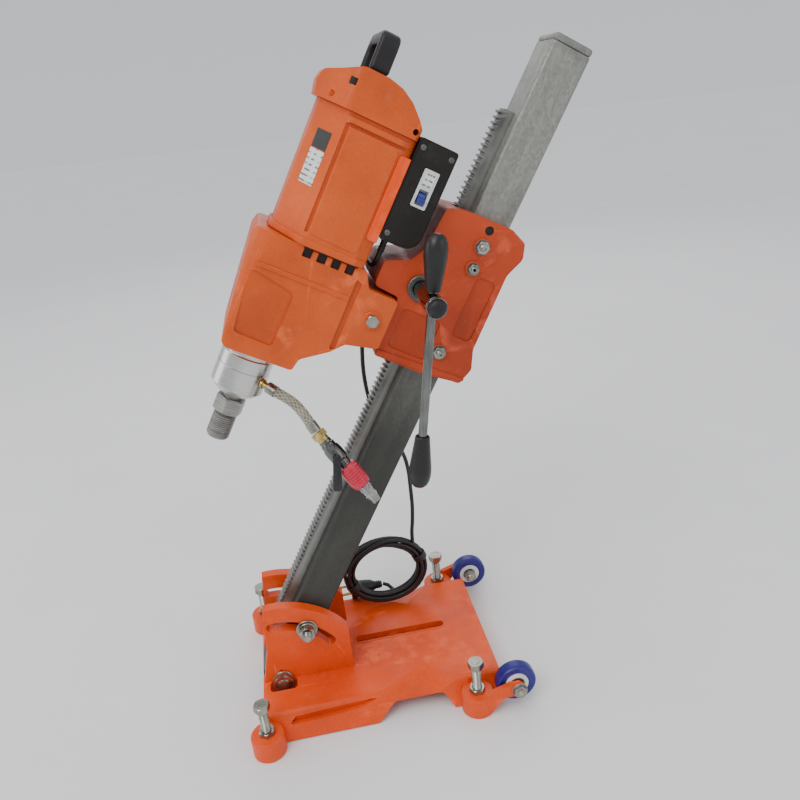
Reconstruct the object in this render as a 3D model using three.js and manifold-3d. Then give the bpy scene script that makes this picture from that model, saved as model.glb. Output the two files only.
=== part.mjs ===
// Core drill rig: a wet diamond drill on a tilting column stand with an anchor base on wheels.
// Millimetres, +Z up, +X to the rear (the wheels), -Y the operator's side with the feed handle.
// The drill motor, the carriage and the column are modelled upright in the column's own frame,
// whose origin is the pivot bolt: x is rearward, z is up along the column. That frame is then tilted.
import * as THREE from 'three';
import { mergeVertices } from 'three/addons/utils/BufferGeometryUtils.js';
import Module from 'manifold-3d';

const wasm = await Module();
wasm.setup();

// ---------------------------------------------------------------- driving dimensions
const GAP = 0.3; // between pieces that touch
const COLUMN_TILT = 29.6; // degrees from upright

const PIVOT_HEIGHT = 40.5;
const PIVOT_RADIUS = 8;
const CLAMP_ARC = 84; // clamp bolt to pivot
const CLAMP_RADIUS = 6;

const PLATE = { front: -27, rear: 280, topHalf: 102, footHalf: 115, top: 38, wall: 9 };
const LUG = { radius: 21, height: 28, y: 120, frontX: -24.5, rearX: 244.5 };
const CHEEK = { inner: 30.5, outer: 44, arc: 112, rear: 94.5, front: -10.5 };
const SCREW = { radius: 5.9, tip: 2, headBase: 68, headHeight: 8, acrossFlats: 18 };
const WHEEL = { x: 295, z: 34, radius: 26, inner: 112, outer: 129 };

const COLUMN = { width: 55, depth: 46, wall: 4, bottom: -22, top: 836 };
const RACK = { module: 2, halfWidth: 10, start: 62, end: 757, body: 15 };
const PINION = { teeth: 12, halfWidth: 12, z: 548.8 };

const BORE = { halfDepth: 26, halfWidth: 30.5 };
const CARRIAGE_HALF = 45;

const MOTOR_X = -158;
const SPINDLE_X = -192.5;
const MOTOR_HALF = 60;
const GEARBOX_HALF = 55;
const STATOR = { inner: 25, outer: 36.8 };

const STAGE_1 = { module: 1.4, pinion: 9, wheel: 31 };
const STAGE_2 = { module: 2, pinion: 10, wheel: 26 };

const HOSE_RADIUS = 6;
const CORD_RADIUS = 2.75;

// ---------------------------------------------------------------- materials
const paint = (color) => new THREE.MeshStandardMaterial({ color, roughness: 0.45, metalness: 0.1 });
const metal = (color, roughness) => new THREE.MeshStandardMaterial({ color, roughness, metalness: 0.9 });
const plastic = (color, roughness) => new THREE.MeshStandardMaterial({ color, roughness, metalness: 0 });

const ORANGE_BASE = paint(0xe05f2d);
const ORANGE_MOTOR = paint(0xcf6a3c);
const ORANGE_CARRIAGE = paint(0xc35537);
const GALVANISED = metal(0x82827a, 0.5);
const DARK_STEEL = metal(0x4a4a46, 0.5);
const ZINC = metal(0xb5b5aa, 0.35);
const CHROME = metal(0xd0d0d0, 0.1);
const ALUMINIUM = metal(0xa8a8a4, 0.4);
const BRASS = metal(0xb59a4e, 0.3);
const BRONZE = metal(0x9a7442, 0.45);
const COPPER = metal(0xa8603a, 0.4);
const BLACK_PLASTIC = plastic(0x28282a, 0.5);
const BLACK_RUBBER = plastic(0x1a1a1a, 0.75);
const BLUE_PLASTIC = plastic(0x342c98, 0.4);
const WHITE_PLASTIC = plastic(0xe8e8e4, 0.4);
const RED_PLASTIC = plastic(0xd84a62, 0.35);
const CLEAR_HOSE = plastic(0xb8b6a8, 0.3);

// ---------------------------------------------------------------- shapes
// A closed geometry as a manifold solid.
function solid(geometry) {
  geometry.deleteAttribute('normal');
  geometry.deleteAttribute('uv');
  const merged = mergeVertices(geometry, 1e-4);
  const index = merged.index.array;
  const triangles = [];
  for (let i = 0; i < index.length; i += 3) {
    const [a, b, c] = [index[i], index[i + 1], index[i + 2]];
    if (a !== b && b !== c && c !== a) triangles.push(a, b, c);
  }
  const vertProperties = new Float32Array(merged.attributes.position.array);
  const triVerts = new Uint32Array(triangles);
  return new wasm.Manifold(new wasm.Mesh({ numProp: 3, vertProperties, triVerts }));
}

const join = (first, ...rest) => rest.reduce((whole, piece) => whole.add(piece), first);
const cut = (first, ...tools) => tools.reduce((whole, tool) => whole.subtract(tool), first);

function toGeometry(body) {
  const mesh = body.getMesh();
  const geometry = new THREE.BufferGeometry();
  geometry.setAttribute('position', new THREE.BufferAttribute(new Float32Array(mesh.vertProperties), 3));
  geometry.setIndex(new THREE.BufferAttribute(new Uint32Array(mesh.triVerts), 1));
  geometry.computeVertexNormals();
  return geometry;
}

// A box between two values on each axis.
function box([x0, x1], [y0, y1], [z0, z1]) {
  const geometry = new THREE.BoxGeometry(x1 - x0, y1 - y0, z1 - z0);
  geometry.translate((x0 + x1) / 2, (y0 + y1) / 2, (z0 + z1) / 2);
  return solid(geometry);
}

function extrude(shape, depth, curveSegments = 8) {
  return new THREE.ExtrudeGeometry(shape, { depth, bevelEnabled: false, curveSegments });
}

const outline = (points) => new THREE.Shape(points.map(([x, y]) => new THREE.Vector2(x, y)));

// A side outline in X and Z, standing between two values of Y.
function sideways(shape, [y0, y1], curveSegments) {
  const geometry = extrude(shape, y1 - y0, curveSegments);
  geometry.rotateX(Math.PI / 2);
  geometry.translate(0, y1, 0);
  return solid(geometry);
}

// A plan outline in X and Y, standing between two values of Z.
function upright(shape, [z0, z1], curveSegments) {
  const geometry = extrude(shape, z1 - z0, curveSegments);
  geometry.translate(0, 0, z0);
  return solid(geometry);
}

function roundedPlan([x0, x1], half, radius) {
  const shape = new THREE.Shape();
  shape.moveTo(x0 + radius, -half);
  shape.lineTo(x1 - radius, -half);
  shape.absarc(x1 - radius, -half + radius, radius, -Math.PI / 2, 0);
  shape.absarc(x1 - radius, half - radius, radius, 0, Math.PI / 2);
  shape.absarc(x0 + radius, half - radius, radius, Math.PI / 2, Math.PI);
  shape.absarc(x0 + radius, -half + radius, radius, Math.PI, Math.PI * 1.5);
  return shape;
}

// Cylinders along Y (cross pins and shafts) and along Z (spindles and screws).
function alongY(radius, x, z, [y0, y1], sides = 20) {
  const geometry = new THREE.CylinderGeometry(radius, radius, y1 - y0, sides);
  geometry.translate(x, (y0 + y1) / 2, z);
  return solid(geometry);
}

function alongZ(radius, x, y, [z0, z1], sides = 20) {
  const geometry = new THREE.CylinderGeometry(radius, radius, z1 - z0, sides);
  geometry.rotateX(Math.PI / 2);
  geometry.translate(x, y, (z0 + z1) / 2);
  return solid(geometry);
}

const hexRadius = (acrossFlats) => acrossFlats / Math.sqrt(3);

// A turned piece: [radius, height] pairs from axis to axis, about Z.
function turned(profile, segments = 20) {
  const geometry = new THREE.LatheGeometry(profile.map(([r, z]) => new THREE.Vector2(r, z)), segments);
  geometry.rotateX(Math.PI / 2);
  return geometry;
}

const turnedAt = (profile, x, y, segments) => solid(turned(profile, segments).translate(x, y, 0));

// A turned piece about Y: [radius, y] pairs.
function turnedY(profile, x, z, segments = 24) {
  const geometry = new THREE.LatheGeometry(profile.map(([r, y]) => new THREE.Vector2(r, y)), segments);
  geometry.translate(x, 0, z);
  return solid(geometry);
}

// A washer-like ring about Z.
function ring(inner, outer, x, y, [z0, z1]) {
  return cut(alongZ(outer, x, y, [z0, z1]), alongZ(inner, x, y, [z0 - 1, z1 + 1]));
}

function ringY(inner, outer, x, z, [y0, y1]) {
  return cut(alongY(outer, x, z, [y0, y1]), alongY(inner, x, z, [y0 - 1, y1 + 1]));
}


// A spur gear's plan outline: straight flanks, thinned teeth for running clearance.
// phase is the direction of one tooth's middle.
function gearShape(teeth, module, phase) {
  const pitch = (teeth * module) / 2;
  const tip = pitch + 0.75 * module;
  const root = pitch - 1.15 * module;
  const step = (2 * Math.PI) / teeth;
  const shape = new THREE.Shape();
  const corners = [[root, -0.32], [tip, -0.1], [tip, 0.1], [root, 0.32]];
  for (let tooth = 0; tooth < teeth; tooth++) {
    for (const [radius, share] of corners) {
      const angle = phase + (tooth + share) * step;
      const x = radius * Math.cos(angle);
      const y = radius * Math.sin(angle);
      if (tooth === 0 && share === -0.32) shape.moveTo(x, y);
      else shape.lineTo(x, y);
    }
  }
  return shape;
}

function gearZ(teeth, module, phase, x, y, [z0, z1]) {
  return upright(gearShape(teeth, module, phase), [z0, z1]).translate([x, y, 0]);
}

// ---------------------------------------------------------------- scene graph
const rig = new THREE.Group();
const base = new THREE.Group();
const column = new THREE.Group();
column.position.z = PIVOT_HEIGHT;
column.rotation.y = THREE.MathUtils.degToRad(COLUMN_TILT);
rig.add(base, column);

function part(name, shape, material, group) {
  const geometry = shape.isBufferGeometry ? shape : toGeometry(shape);
  const mesh = new THREE.Mesh(geometry, material);
  mesh.name = name;
  group.add(mesh);
  return mesh;
}

// ---------------------------------------------------------------- base casting
function arcSlot() {
  const half = CLAMP_RADIUS + 0.6;
  const start = Math.PI / 2 + THREE.MathUtils.degToRad(2);
  const end = Math.PI / 2 - THREE.MathUtils.degToRad(56);
  const shape = new THREE.Shape();
  shape.absarc(0, 0, CLAMP_ARC + half, start, end, true);
  shape.absarc(0, 0, CLAMP_ARC - half, end, start, false);
  const wide = [-CHEEK.outer - 1, CHEEK.outer + 1];
  const slot = sideways(shape, wide, 5);
  const ends = [start, end].map((angle) => (
    alongY(half, CLAMP_ARC * Math.cos(angle), CLAMP_ARC * Math.sin(angle), wide, 12)
  ));
  return join(slot, ...ends).translate([0, 0, PIVOT_HEIGHT]);
}

function cheek(side) {
  const shape = new THREE.Shape();
  const rearAngle = Math.acos(CHEEK.rear / CHEEK.arc);
  const frontAngle = Math.PI / 2 - Math.asin(CHEEK.front / CHEEK.arc);
  shape.moveTo(PLATE.front, PLATE.top - 8);
  shape.lineTo(CHEEK.rear, PLATE.top - 8);
  shape.absarc(0, PIVOT_HEIGHT, CHEEK.arc, rearAngle, frontAngle, false);
  shape.lineTo(-14.5, 87);
  const range = side < 0 ? [-CHEEK.outer, -CHEEK.inner] : [CHEEK.inner, CHEEK.outer];
  return sideways(shape, range, 5);
}

function wheelArm(side) {
  const shape = outline([[239, 8], [261, 8], [275, 25], [302, 27], [304, 41], [286, 43], [239, 26]]);
  const range = side < 0 ? [-139, -131] : [131, 139];
  return sideways(shape, range);
}

function basePlate() {
  const section = outline([
    [-PLATE.footHalf, 2], [PLATE.footHalf, 2], [PLATE.topHalf, PLATE.top], [-PLATE.topHalf, PLATE.top],
  ]);
  const along = extrude(section, PLATE.rear - PLATE.front);
  along.rotateX(Math.PI / 2);
  along.rotateZ(Math.PI / 2);
  along.translate(PLATE.front, 0, 0);
  const hollowSection = outline([
    [-PLATE.footHalf + PLATE.wall, -1], [PLATE.footHalf - PLATE.wall, -1],
    [PLATE.topHalf - PLATE.wall, PLATE.top - PLATE.wall],
    [-PLATE.topHalf + PLATE.wall, PLATE.top - PLATE.wall],
  ]);
  const hollow = extrude(hollowSection, 160);
  hollow.rotateX(Math.PI / 2);
  hollow.rotateZ(Math.PI / 2);
  hollow.translate(110, 0, 0);
  const arch = outline([[113, -1], [139, 24], [203, 24], [217, -1]]);
  const lugs = [];
  const lugHoles = [];
  for (const x of [LUG.frontX, LUG.rearX]) {
    for (const y of [-LUG.y, LUG.y]) {
      lugs.push(alongZ(LUG.radius, x, y, [0, LUG.height], 16));
      lugHoles.push(alongZ(SCREW.radius + 0.6, x, y, [-1, LUG.height + 12], 12));
      lugHoles.push(alongZ(LUG.radius - 4, x, y, [LUG.height, LUG.height + 12], 16));
    }
  }
  let casting = join(solid(along), cheek(-1), cheek(1), ...lugs, wheelArm(-1), wheelArm(1));
  casting = cut(
    casting,
    solid(hollow),
    sideways(arch, [-150, 150]),
    box([PLATE.front - 1, 61], [-CHEEK.inner, CHEEK.inner], [-1, PLATE.top + 1]),
    box([102, 229], [1, 13], [-1, PLATE.top + 1]),
    arcSlot(),
    alongY(PIVOT_RADIUS + 0.4, 0, PIVOT_HEIGHT, [-150, 150]),
    alongY(5.3, WHEEL.x, WHEEL.z, [-150, 150]),
    ...lugHoles,
  );
  for (const side of [-1, 1]) {
    const span = (near, far) => (side < 0 ? [-far, -near] : [near, far]);
    const boltHeadRecess = alongY(18, 0, PIVOT_HEIGHT, span(CHEEK.outer, 63), 12);
    const skirtPocket = box([-11, 87], span(106, 120), [13, 29]);
    casting = cut(casting, boltHeadRecess, skirtPocket);
  }
  return casting;
}

part('base_plate', basePlate(), ORANGE_BASE, base);

// ---------------------------------------------------------------- levelling screws and wheels
function levellingScrew() {
  const shank = alongZ(SCREW.radius - 0.1, 0, 0, [SCREW.tip, SCREW.headBase + 1], 12);
  const headSpan = [SCREW.headBase, SCREW.headBase + SCREW.headHeight];
  const head = alongZ(hexRadius(SCREW.acrossFlats), 0, 0, headSpan, 6);
  return toGeometry(join(shank, head));
}

for (const [end, x] of [['front', LUG.frontX], ['rear', LUG.rearX]]) {
  for (const [side, y] of [['near', -LUG.y], ['far', LUG.y]]) {
    part(`levelling_screw_${end}_${side}`, levellingScrew(), ZINC, base).position.set(x, y, 0);
  }
}

for (const [side, sign] of [['near', -1], ['far', 1]]) {
  const group = new THREE.Group();
  group.position.set(WHEEL.x, 0, WHEEL.z);
  base.add(group);
  const span = (a, b) => (sign < 0 ? [-b, -a] : [a, b]);
  const tyre = ringY(15.3, WHEEL.radius, 0, 0, span(WHEEL.inner, WHEEL.outer));
  const hub = ringY(5.4, 15, 0, 0, span(WHEEL.inner - 1, WHEEL.outer + 1));
  part(`wheel_tyre_${side}`, tyre, BLUE_PLASTIC, group);
  part(`wheel_hub_${side}`, hub, WHITE_PLASTIC, group);
  const shank = alongY(5, 0, 0, span(100, 141));
  const head = alongY(hexRadius(16), 0, 0, span(139.3, 145), 6);
  const nut = alongY(hexRadius(16), 0, 0, span(103, 110.5), 6);
  part(`wheel_axle_${side}`, join(shank, head, nut), ZINC, group);
}

// ---------------------------------------------------------------- pivot and clamp
function crossBolt(radius, headY, endY, acrossFlats, headHeight) {
  const shank = alongY(radius, 0, 0, [headY, endY]);
  const head = alongY(hexRadius(acrossFlats), 0, 0, [headY - headHeight, headY], 6);
  const washer = alongY(radius + 5, 0, 0, [headY, headY + 2.5]);
  return join(shank, head, washer);
}

function crossNut(radius, y, acrossFlats, height) {
  const nut = alongY(hexRadius(acrossFlats), 0, 0, [y, y + height], 6);
  return cut(nut, alongY(radius + 0.3, 0, 0, [y - 1, y + height + 1]));
}

const pivotHead = -CHEEK.outer - 2.5 - GAP;
part('pivot_bolt', crossBolt(PIVOT_RADIUS, pivotHead, 62, 24, 9), ZINC, base).position.z = PIVOT_HEIGHT;
part('pivot_nut', crossNut(PIVOT_RADIUS, CHEEK.outer + GAP, 24, 12), ZINC, base).position.z = PIVOT_HEIGHT;

const clampHead = CHEEK.outer + 3 + GAP;
const clampShank = alongY(CLAMP_RADIUS, 0, 0, [-65, clampHead + 1]);
const clampBoltHead = alongY(hexRadius(19), 0, 0, [clampHead, clampHead + 8], 6);
const clampFarWasher = alongY(13, 0, 0, [CHEEK.outer + GAP, clampHead + 0.1]);
part('clamp_bolt', join(clampShank, clampBoltHead, clampFarWasher), ZINC, column).position.z = CLAMP_ARC;
part(
  'clamp_washer',
  ringY(CLAMP_RADIUS + 0.3, 14, 0, 0, [-CHEEK.outer - 3, -CHEEK.outer - GAP]),
  ZINC,
  column,
).position.z = CLAMP_ARC;
part('clamp_nut', crossNut(CLAMP_RADIUS, -CHEEK.outer - 14, 19, 10.7), ZINC, column).position.z = CLAMP_ARC;

// ---------------------------------------------------------------- column
function columnTube() {
  const half = { x: COLUMN.depth / 2, y: COLUMN.width / 2 };
  const outer = upright(roundedPlan([-half.x, half.x], half.y, 4), [COLUMN.bottom, COLUMN.top], 2);
  const inner = upright(
    roundedPlan([-half.x + COLUMN.wall, half.x - COLUMN.wall], half.y - COLUMN.wall, 1.5),
    [COLUMN.bottom - 1, COLUMN.top + 1],
    1,
  );
  return cut(
    outer,
    inner,
    alongY(PIVOT_RADIUS + 0.4, 0, 0, [-40, 40]),
    alongY(CLAMP_RADIUS + 0.4, 0, CLAMP_ARC, [-40, 40]),
  );
}

function columnCap() {
  const half = { x: COLUMN.depth / 2, y: COLUMN.width / 2 };
  const plug = upright(
    roundedPlan([-half.x + COLUMN.wall + 0.5, half.x - COLUMN.wall - 0.5], half.y - COLUMN.wall - 0.5, 1.5),
    [COLUMN.top - 14, COLUMN.top + 1],
    1,
  );
  const lid = upright(roundedPlan([-half.x, half.x], half.y, 4), [COLUMN.top + GAP, COLUMN.top + 5], 2);
  const crownPlan = roundedPlan([-half.x + 3, half.x - 3], half.y - 3, 4);
  const crown = upright(crownPlan, [COLUMN.top + 4, COLUMN.top + 9], 2);
  return join(plug, lid, crown);
}

// A straight rack: trapezoid teeth on the column's front face, pointing forward.
function gearRack() {
  const pitch = Math.PI * RACK.module;
  const face = -COLUMN.depth / 2 - GAP;
  const root = face - RACK.body + 2 * RACK.module - 0.6;
  const tip = root - 1.9 * RACK.module;
  const shape = new THREE.Shape();
  shape.moveTo(face, RACK.start);
  shape.lineTo(root, RACK.start);
  const first = Math.ceil((RACK.start - PINION.z) / pitch) + 1;
  const last = Math.floor((RACK.end - PINION.z) / pitch) - 1;
  for (let tooth = first; tooth <= last; tooth++) {
    const middle = PINION.z + (tooth + 0.5) * pitch;
    shape.lineTo(root, middle - 0.32 * pitch);
    shape.lineTo(tip, middle - 0.12 * pitch);
    shape.lineTo(tip, middle + 0.12 * pitch);
    shape.lineTo(root, middle + 0.32 * pitch);
  }
  shape.lineTo(root, RACK.end);
  shape.lineTo(face, RACK.end);
  return sideways(shape, [-RACK.halfWidth, RACK.halfWidth]);
}

part('column_tube', columnTube(), GALVANISED, column);
part('column_cap', columnCap(), GALVANISED, column);
part('gear_rack', gearRack(), DARK_STEEL, column);

// ---------------------------------------------------------------- carriage
const rackTip = -COLUMN.depth / 2 - GAP - RACK.body + 0.2 * RACK.module - 0.6;
const PINION_X = rackTip + 0.8 * RACK.module - (PINION.teeth * RACK.module) / 2;

function carriageCasting() {
  const side = outline([
    [-67, 459], [-4, 458], [42, 463], [48, 483], [39, 506], [38, 560], [37, 598], [46, 621], [40, 638],
    [20, 646], [-28, 645], [-58, 640], [-62, 590], [-72, 572], [-98, 562], [-98, 533], [-67, 530],
  ]);
  const plan = roundedPlan([-110, 60], CARRIAGE_HALF, 7);
  const block = sideways(side, [-CARRIAGE_HALF, CARRIAGE_HALF]).intersect(upright(plan, [440, 660], 3));
  const gibHoles = [489, 590.5, 616].map((z) => alongY(4.4, 0, z, [-60, 0]));
  return cut(
    block,
    box([-BORE.halfDepth, BORE.halfDepth], [-BORE.halfWidth, BORE.halfWidth], [400, 700]),
    box([rackTip - 2.5, 0], [-13, 13], [400, 700]),
    alongY(16.5, PINION_X, PINION.z, [-14, 14]),
    alongY(13.3, PINION_X, PINION.z, [-60, 60]),
    alongY(5, -4, 635, [-60, 0]),
    ...gibHoles,
  );
}

function gibStrip(side) {
  const y = COLUMN.width / 2 + GAP;
  const range = side < 0 ? [-BORE.halfWidth + GAP, -y] : [y, BORE.halfWidth - GAP];
  return box([-16, 16], range, [466, 638]);
}

function gibScrew(z, length) {
  const shank = alongY(3.9, 0, z, [-CARRIAGE_HALF - length, -BORE.halfWidth - 0.1], 16);
  const nut = alongY(hexRadius(13), 0, z, [-CARRIAGE_HALF - 6, -CARRIAGE_HALF - GAP], 6);
  return join(shank, nut);
}

part('carriage_casting', carriageCasting(), ORANGE_CARRIAGE, column);
part('gib_strip_near', gibStrip(-1), BRONZE, column);
part('gib_strip_far', gibStrip(1), BRONZE, column);
part('gib_screw_low', gibScrew(489, 11), ZINC, column);
part('gib_screw_mid', gibScrew(590.5, 8), ZINC, column);
part('gib_screw_high', gibScrew(616, 12), ZINC, column);
part('pinion_bush_near', join(
  ringY(9.4, 13, PINION_X, PINION.z, [-CARRIAGE_HALF - 1, -17]),
  ringY(9.4, 15, PINION_X, PINION.z, [-CARRIAGE_HALF - 4.5, -CARRIAGE_HALF - GAP]),
), DARK_STEEL, column);
part('pinion_bush_far', ringY(9.4, 13, PINION_X, PINION.z, [17, CARRIAGE_HALF]), DARK_STEEL, column);

// ---------------------------------------------------------------- feed shaft and handle
const HUB = { near: -128, far: -96, radius: 11, barY: -107 };
const BAR = { radius: 5, lean: -21, top: 71, bottom: -214, upperGrip: 59, lowerGrip: 63 };

function feedPinion() {
  // a tooth points straight away from the rack, and one of the twelve straight at it
  const phase = Math.PI;
  const shape = gearShape(PINION.teeth, RACK.module, phase);
  return sideways(shape, [-PINION.halfWidth, PINION.halfWidth]);
}

const feed = new THREE.Group();
feed.position.set(PINION_X, 0, PINION.z);
column.add(feed);
const barHole = (radius) => {
  const geometry = new THREE.CylinderGeometry(radius, radius, 60, 24);
  geometry.rotateX(Math.PI / 2);
  geometry.rotateY(THREE.MathUtils.degToRad(BAR.lean));
  geometry.translate(0, HUB.barY, 0);
  return solid(geometry);
};
part('feed_shaft', cut(join(
  feedPinion(),
  alongY(9, 0, 0, [HUB.far - 1, 44]),
  alongY(HUB.radius, 0, 0, [HUB.near, HUB.far]),
), barHole(BAR.radius + 0.5)), CHROME, feed);
part('feed_hub_cap', turnedY([
  [0, HUB.near - 10], [6, HUB.near - 9.5], [9, HUB.near - 7], [10.2, HUB.near - 4], [10.2, HUB.near - GAP],
  [0, HUB.near - GAP],
], 0, 0), BLACK_PLASTIC, feed);

const bar = new THREE.Group();
bar.position.y = HUB.barY;
bar.rotation.y = THREE.MathUtils.degToRad(BAR.lean);
feed.add(bar);
part('feed_bar', alongZ(BAR.radius, 0, 0, [BAR.bottom + 9, BAR.top - 8], 20), CHROME, bar);

// A hand grip with a blind hole for the bar, wider at its outer end.
function grip(length) {
  const profile = [
    [BAR.radius + GAP, 0], [8.2, 0], [9, 8], [11, 26],
    [12.6, 41], [12.2, 50], [10, 57], [6, 60.6], [0, 61.5],
    [0, 54], [BAR.radius + GAP, 54], [BAR.radius + GAP, 0],
  ];
  return turned(profile.map(([r, z]) => [r, (z * length) / 61.5]), 14);
}

part('feed_grip_upper', grip(BAR.upperGrip), BLACK_PLASTIC, bar).position.z = BAR.top - BAR.upperGrip;
const gripLower = part('feed_grip_lower', grip(BAR.lowerGrip), BLACK_PLASTIC, bar);
gripLower.rotation.x = Math.PI;
gripLower.position.z = BAR.bottom + BAR.lowerGrip;

// ---------------------------------------------------------------- gearbox, motor housing and end cap
function gearboxHousing() {
  const side = outline([
    [-230, 412], [-148, 412], [-145, 427], [-117, 447], [-104, 461], [-67.7, 469], [-67.7, 527], [-104, 528],
    [-113, 545.7], [-236, 545.7], [-239, 535],
  ]);
  const plan = roundedPlan([-240, -60], GEARBOX_HALF, 24);
  const block = sideways(side, [-GEARBOX_HALF, GEARBOX_HALF]).intersect(upright(plan, [400, 560], 5));
  const panel = [-1, 1].map((sign) => {
    const y = sign * GEARBOX_HALF;
    return box([-222, -176], [y - 1.5, y + 1.5], [430, 492]);
  });
  const vents = [-1, 1].flatMap((sign) => [0, 1, 2, 3].map((i) => {
    const x = -179 + 16 * i;
    const y = sign * GEARBOX_HALF;
    return box([x - 4.5, x + 4.5], sign < 0 ? [y - 1, y + 5] : [y - 5, y + 1], [538, 550]);
  }));
  return cut(
    block,
    ...panel,
    ...vents,
    upright(roundedPlan([-226, -118], 50, 20), [424, 534], 4),
    alongZ(17, SPINDLE_X, 0, [400, 440]),
    alongZ(20, MOTOR_X, 0, [500, 560]),
    alongY(4.4, -87, 497, [-70, 70]),
  );
}

function motorHousing() {
  const plan = outline([
    [-222, -24], [-191, -58], [-186, -60], [-131, -60], [-117.5, -54],
    [-117.5, 54], [-131, 60], [-186, 60], [-191, 58], [-222, 24],
  ]);
  return cut(
    upright(plan, [546, 686]),
    alongZ(STATOR.outer + GAP, MOTOR_X, 0, [562, 690], 28),
    alongZ(17, MOTOR_X, 0, [540, 570]),
  );
}

function endCap() {
  const shape = new THREE.Shape();
  shape.moveTo(-228, 686.3);
  shape.lineTo(-231, 702);
  shape.lineTo(-228, 712);
  shape.lineTo(-194, 729);
  shape.lineTo(-165, 728);
  shape.quadraticCurveTo(-128, 724, -119, 692);
  shape.lineTo(-118, 686.3);
  const plan = roundedPlan([-232, -117], MOTOR_HALF, 26);
  const block = sideways(shape, [-MOTOR_HALF, MOTOR_HALF], 6).intersect(upright(plan, [680, 740], 5));
  return cut(
    block,
    alongZ(STATOR.outer, MOTOR_X, 0, [680, 704], 28),
    alongZ(16.3, MOTOR_X, 0, [700, 714]),
  );
}

function topHandle() {
  const half = 45;
  const outer = roundedPlan([-half, half], 26, 14);
  const face = new THREE.Shape(outer.getPoints(4));
  const geometry = extrude(face, 21);
  geometry.rotateX(Math.PI / 2);
  geometry.rotateZ(Math.PI / 2);
  geometry.translate(-189, 0, 745.2);
  const loop = solid(geometry);
  return cut(loop, box([-195, -160], [-33, 33], [712, 758]), box([-195, -160], [-60, 60], [700, 729.5]));
}

part('gearbox_housing', gearboxHousing(), ORANGE_MOTOR, column);
part('motor_housing', motorHousing(), ORANGE_MOTOR, column);
part('end_cap', endCap(), ORANGE_MOTOR, column);
part('top_handle', topHandle(), BLACK_PLASTIC, column);
const mountScrew = join(
  alongY(4, -87, 497, [-60, 60]),
  alongY(hexRadius(13), -87, 497, [-61, -GEARBOX_HALF - GAP], 6),
  alongY(hexRadius(13), -87, 497, [GEARBOX_HALF + GAP, 61], 6),
);
part('mount_screw', mountScrew, ZINC, column);

// ---------------------------------------------------------------- switch box
const BOX = { front: -117.2, rear: -74, near: -62, far: 38, bottom: 583, top: 693 };

function switchBox() {
  const side = new THREE.Shape();
  side.moveTo(BOX.front, BOX.bottom);
  side.lineTo(BOX.rear - 22, BOX.bottom);
  side.quadraticCurveTo(BOX.rear, BOX.bottom, BOX.rear, BOX.bottom + 30);
  side.lineTo(BOX.rear, BOX.top - 3);
  side.lineTo(BOX.rear - 3, BOX.top);
  side.lineTo(BOX.front, BOX.top);
  return cut(
    sideways(side, [BOX.near, BOX.far], 5),
    box([-101.5, -84.5], [BOX.near - 1, BOX.near + 14], [627, 667]),
    alongZ(4.2, -105, -36, [BOX.bottom - 1, BOX.bottom + 14]),
  );
}

part('switch_box', switchBox(), BLACK_PLASTIC, column);
part('breaker_body', cut(
  box([-101, -85], [BOX.near - 2, BOX.near + 13.5], [627.5, 666.5]),
  box([-98, -88], [BOX.near - 3, BOX.near + 6], [630, 646]),
), WHITE_PLASTIC, column);
const leverGroup = new THREE.Group();
leverGroup.position.set(-93, BOX.near + 4, 638);
leverGroup.rotation.x = THREE.MathUtils.degToRad(20);
column.add(leverGroup);
part('breaker_lever', box([-4, 4], [-11, 1], [-2.4, 2.4]), BLUE_PLASTIC, leverGroup);

// ---------------------------------------------------------------- motor and gear train inside the housings
const STAGE_1_CENTRES = (STAGE_1.module * (STAGE_1.pinion + STAGE_1.wheel)) / 2;
const STAGE_2_CENTRES = (STAGE_2.module * (STAGE_2.pinion + STAGE_2.wheel)) / 2;
const AXES = MOTOR_X - SPINDLE_X;
const IDLER_ALONG = (AXES ** 2 + STAGE_2_CENTRES ** 2 - STAGE_1_CENTRES ** 2) / (2 * AXES);
const IDLER_X = SPINDLE_X + IDLER_ALONG;
const IDLER_Y = Math.sqrt(STAGE_2_CENTRES ** 2 - IDLER_ALONG ** 2);
const motorToIdler = Math.atan2(IDLER_Y, IDLER_X - MOTOR_X);
const idlerToSpindle = Math.atan2(-IDLER_Y, SPINDLE_X - IDLER_X);
const idlerPhase = motorToIdler + Math.PI * (1 + 1 / STAGE_1.wheel);
const spindlePhase = idlerToSpindle + Math.PI * (1 + 1 / STAGE_2.wheel);

part('armature', join(
  turnedAt([
    [0, 502], [4.4, 502], [4.4, 525], [8, 525], [8, 566], [24, 575], [24, 650], [10, 652], [10, 660],
    [17, 660], [17, 682], [8, 684], [8, 711], [0, 711],
  ], MOTOR_X, 0),
  gearZ(STAGE_1.pinion, STAGE_1.module, motorToIdler, MOTOR_X, 0, [506, 522]),
), COPPER, column);
part('stator', ring(STATOR.inner, STATOR.outer, MOTOR_X, 0, [572, 653]), DARK_STEEL, column);
part('motor_bearing_low', ring(8.4, 16.7, MOTOR_X, 0, [547, 558]), ZINC, column);
part('motor_bearing_top', ring(8.4, 16, MOTOR_X, 0, [700.5, 710]), ZINC, column);

const idlerMesh = join(
  alongZ(6, IDLER_X, IDLER_Y, [430, 530]),
  gearZ(STAGE_1.wheel, STAGE_1.module, idlerPhase, IDLER_X, IDLER_Y, [508, 520]),
  gearZ(STAGE_2.pinion, STAGE_2.module, idlerToSpindle, IDLER_X, IDLER_Y, [472, 500]),
);
part('idler_shaft', idlerMesh, DARK_STEEL, column);

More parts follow.
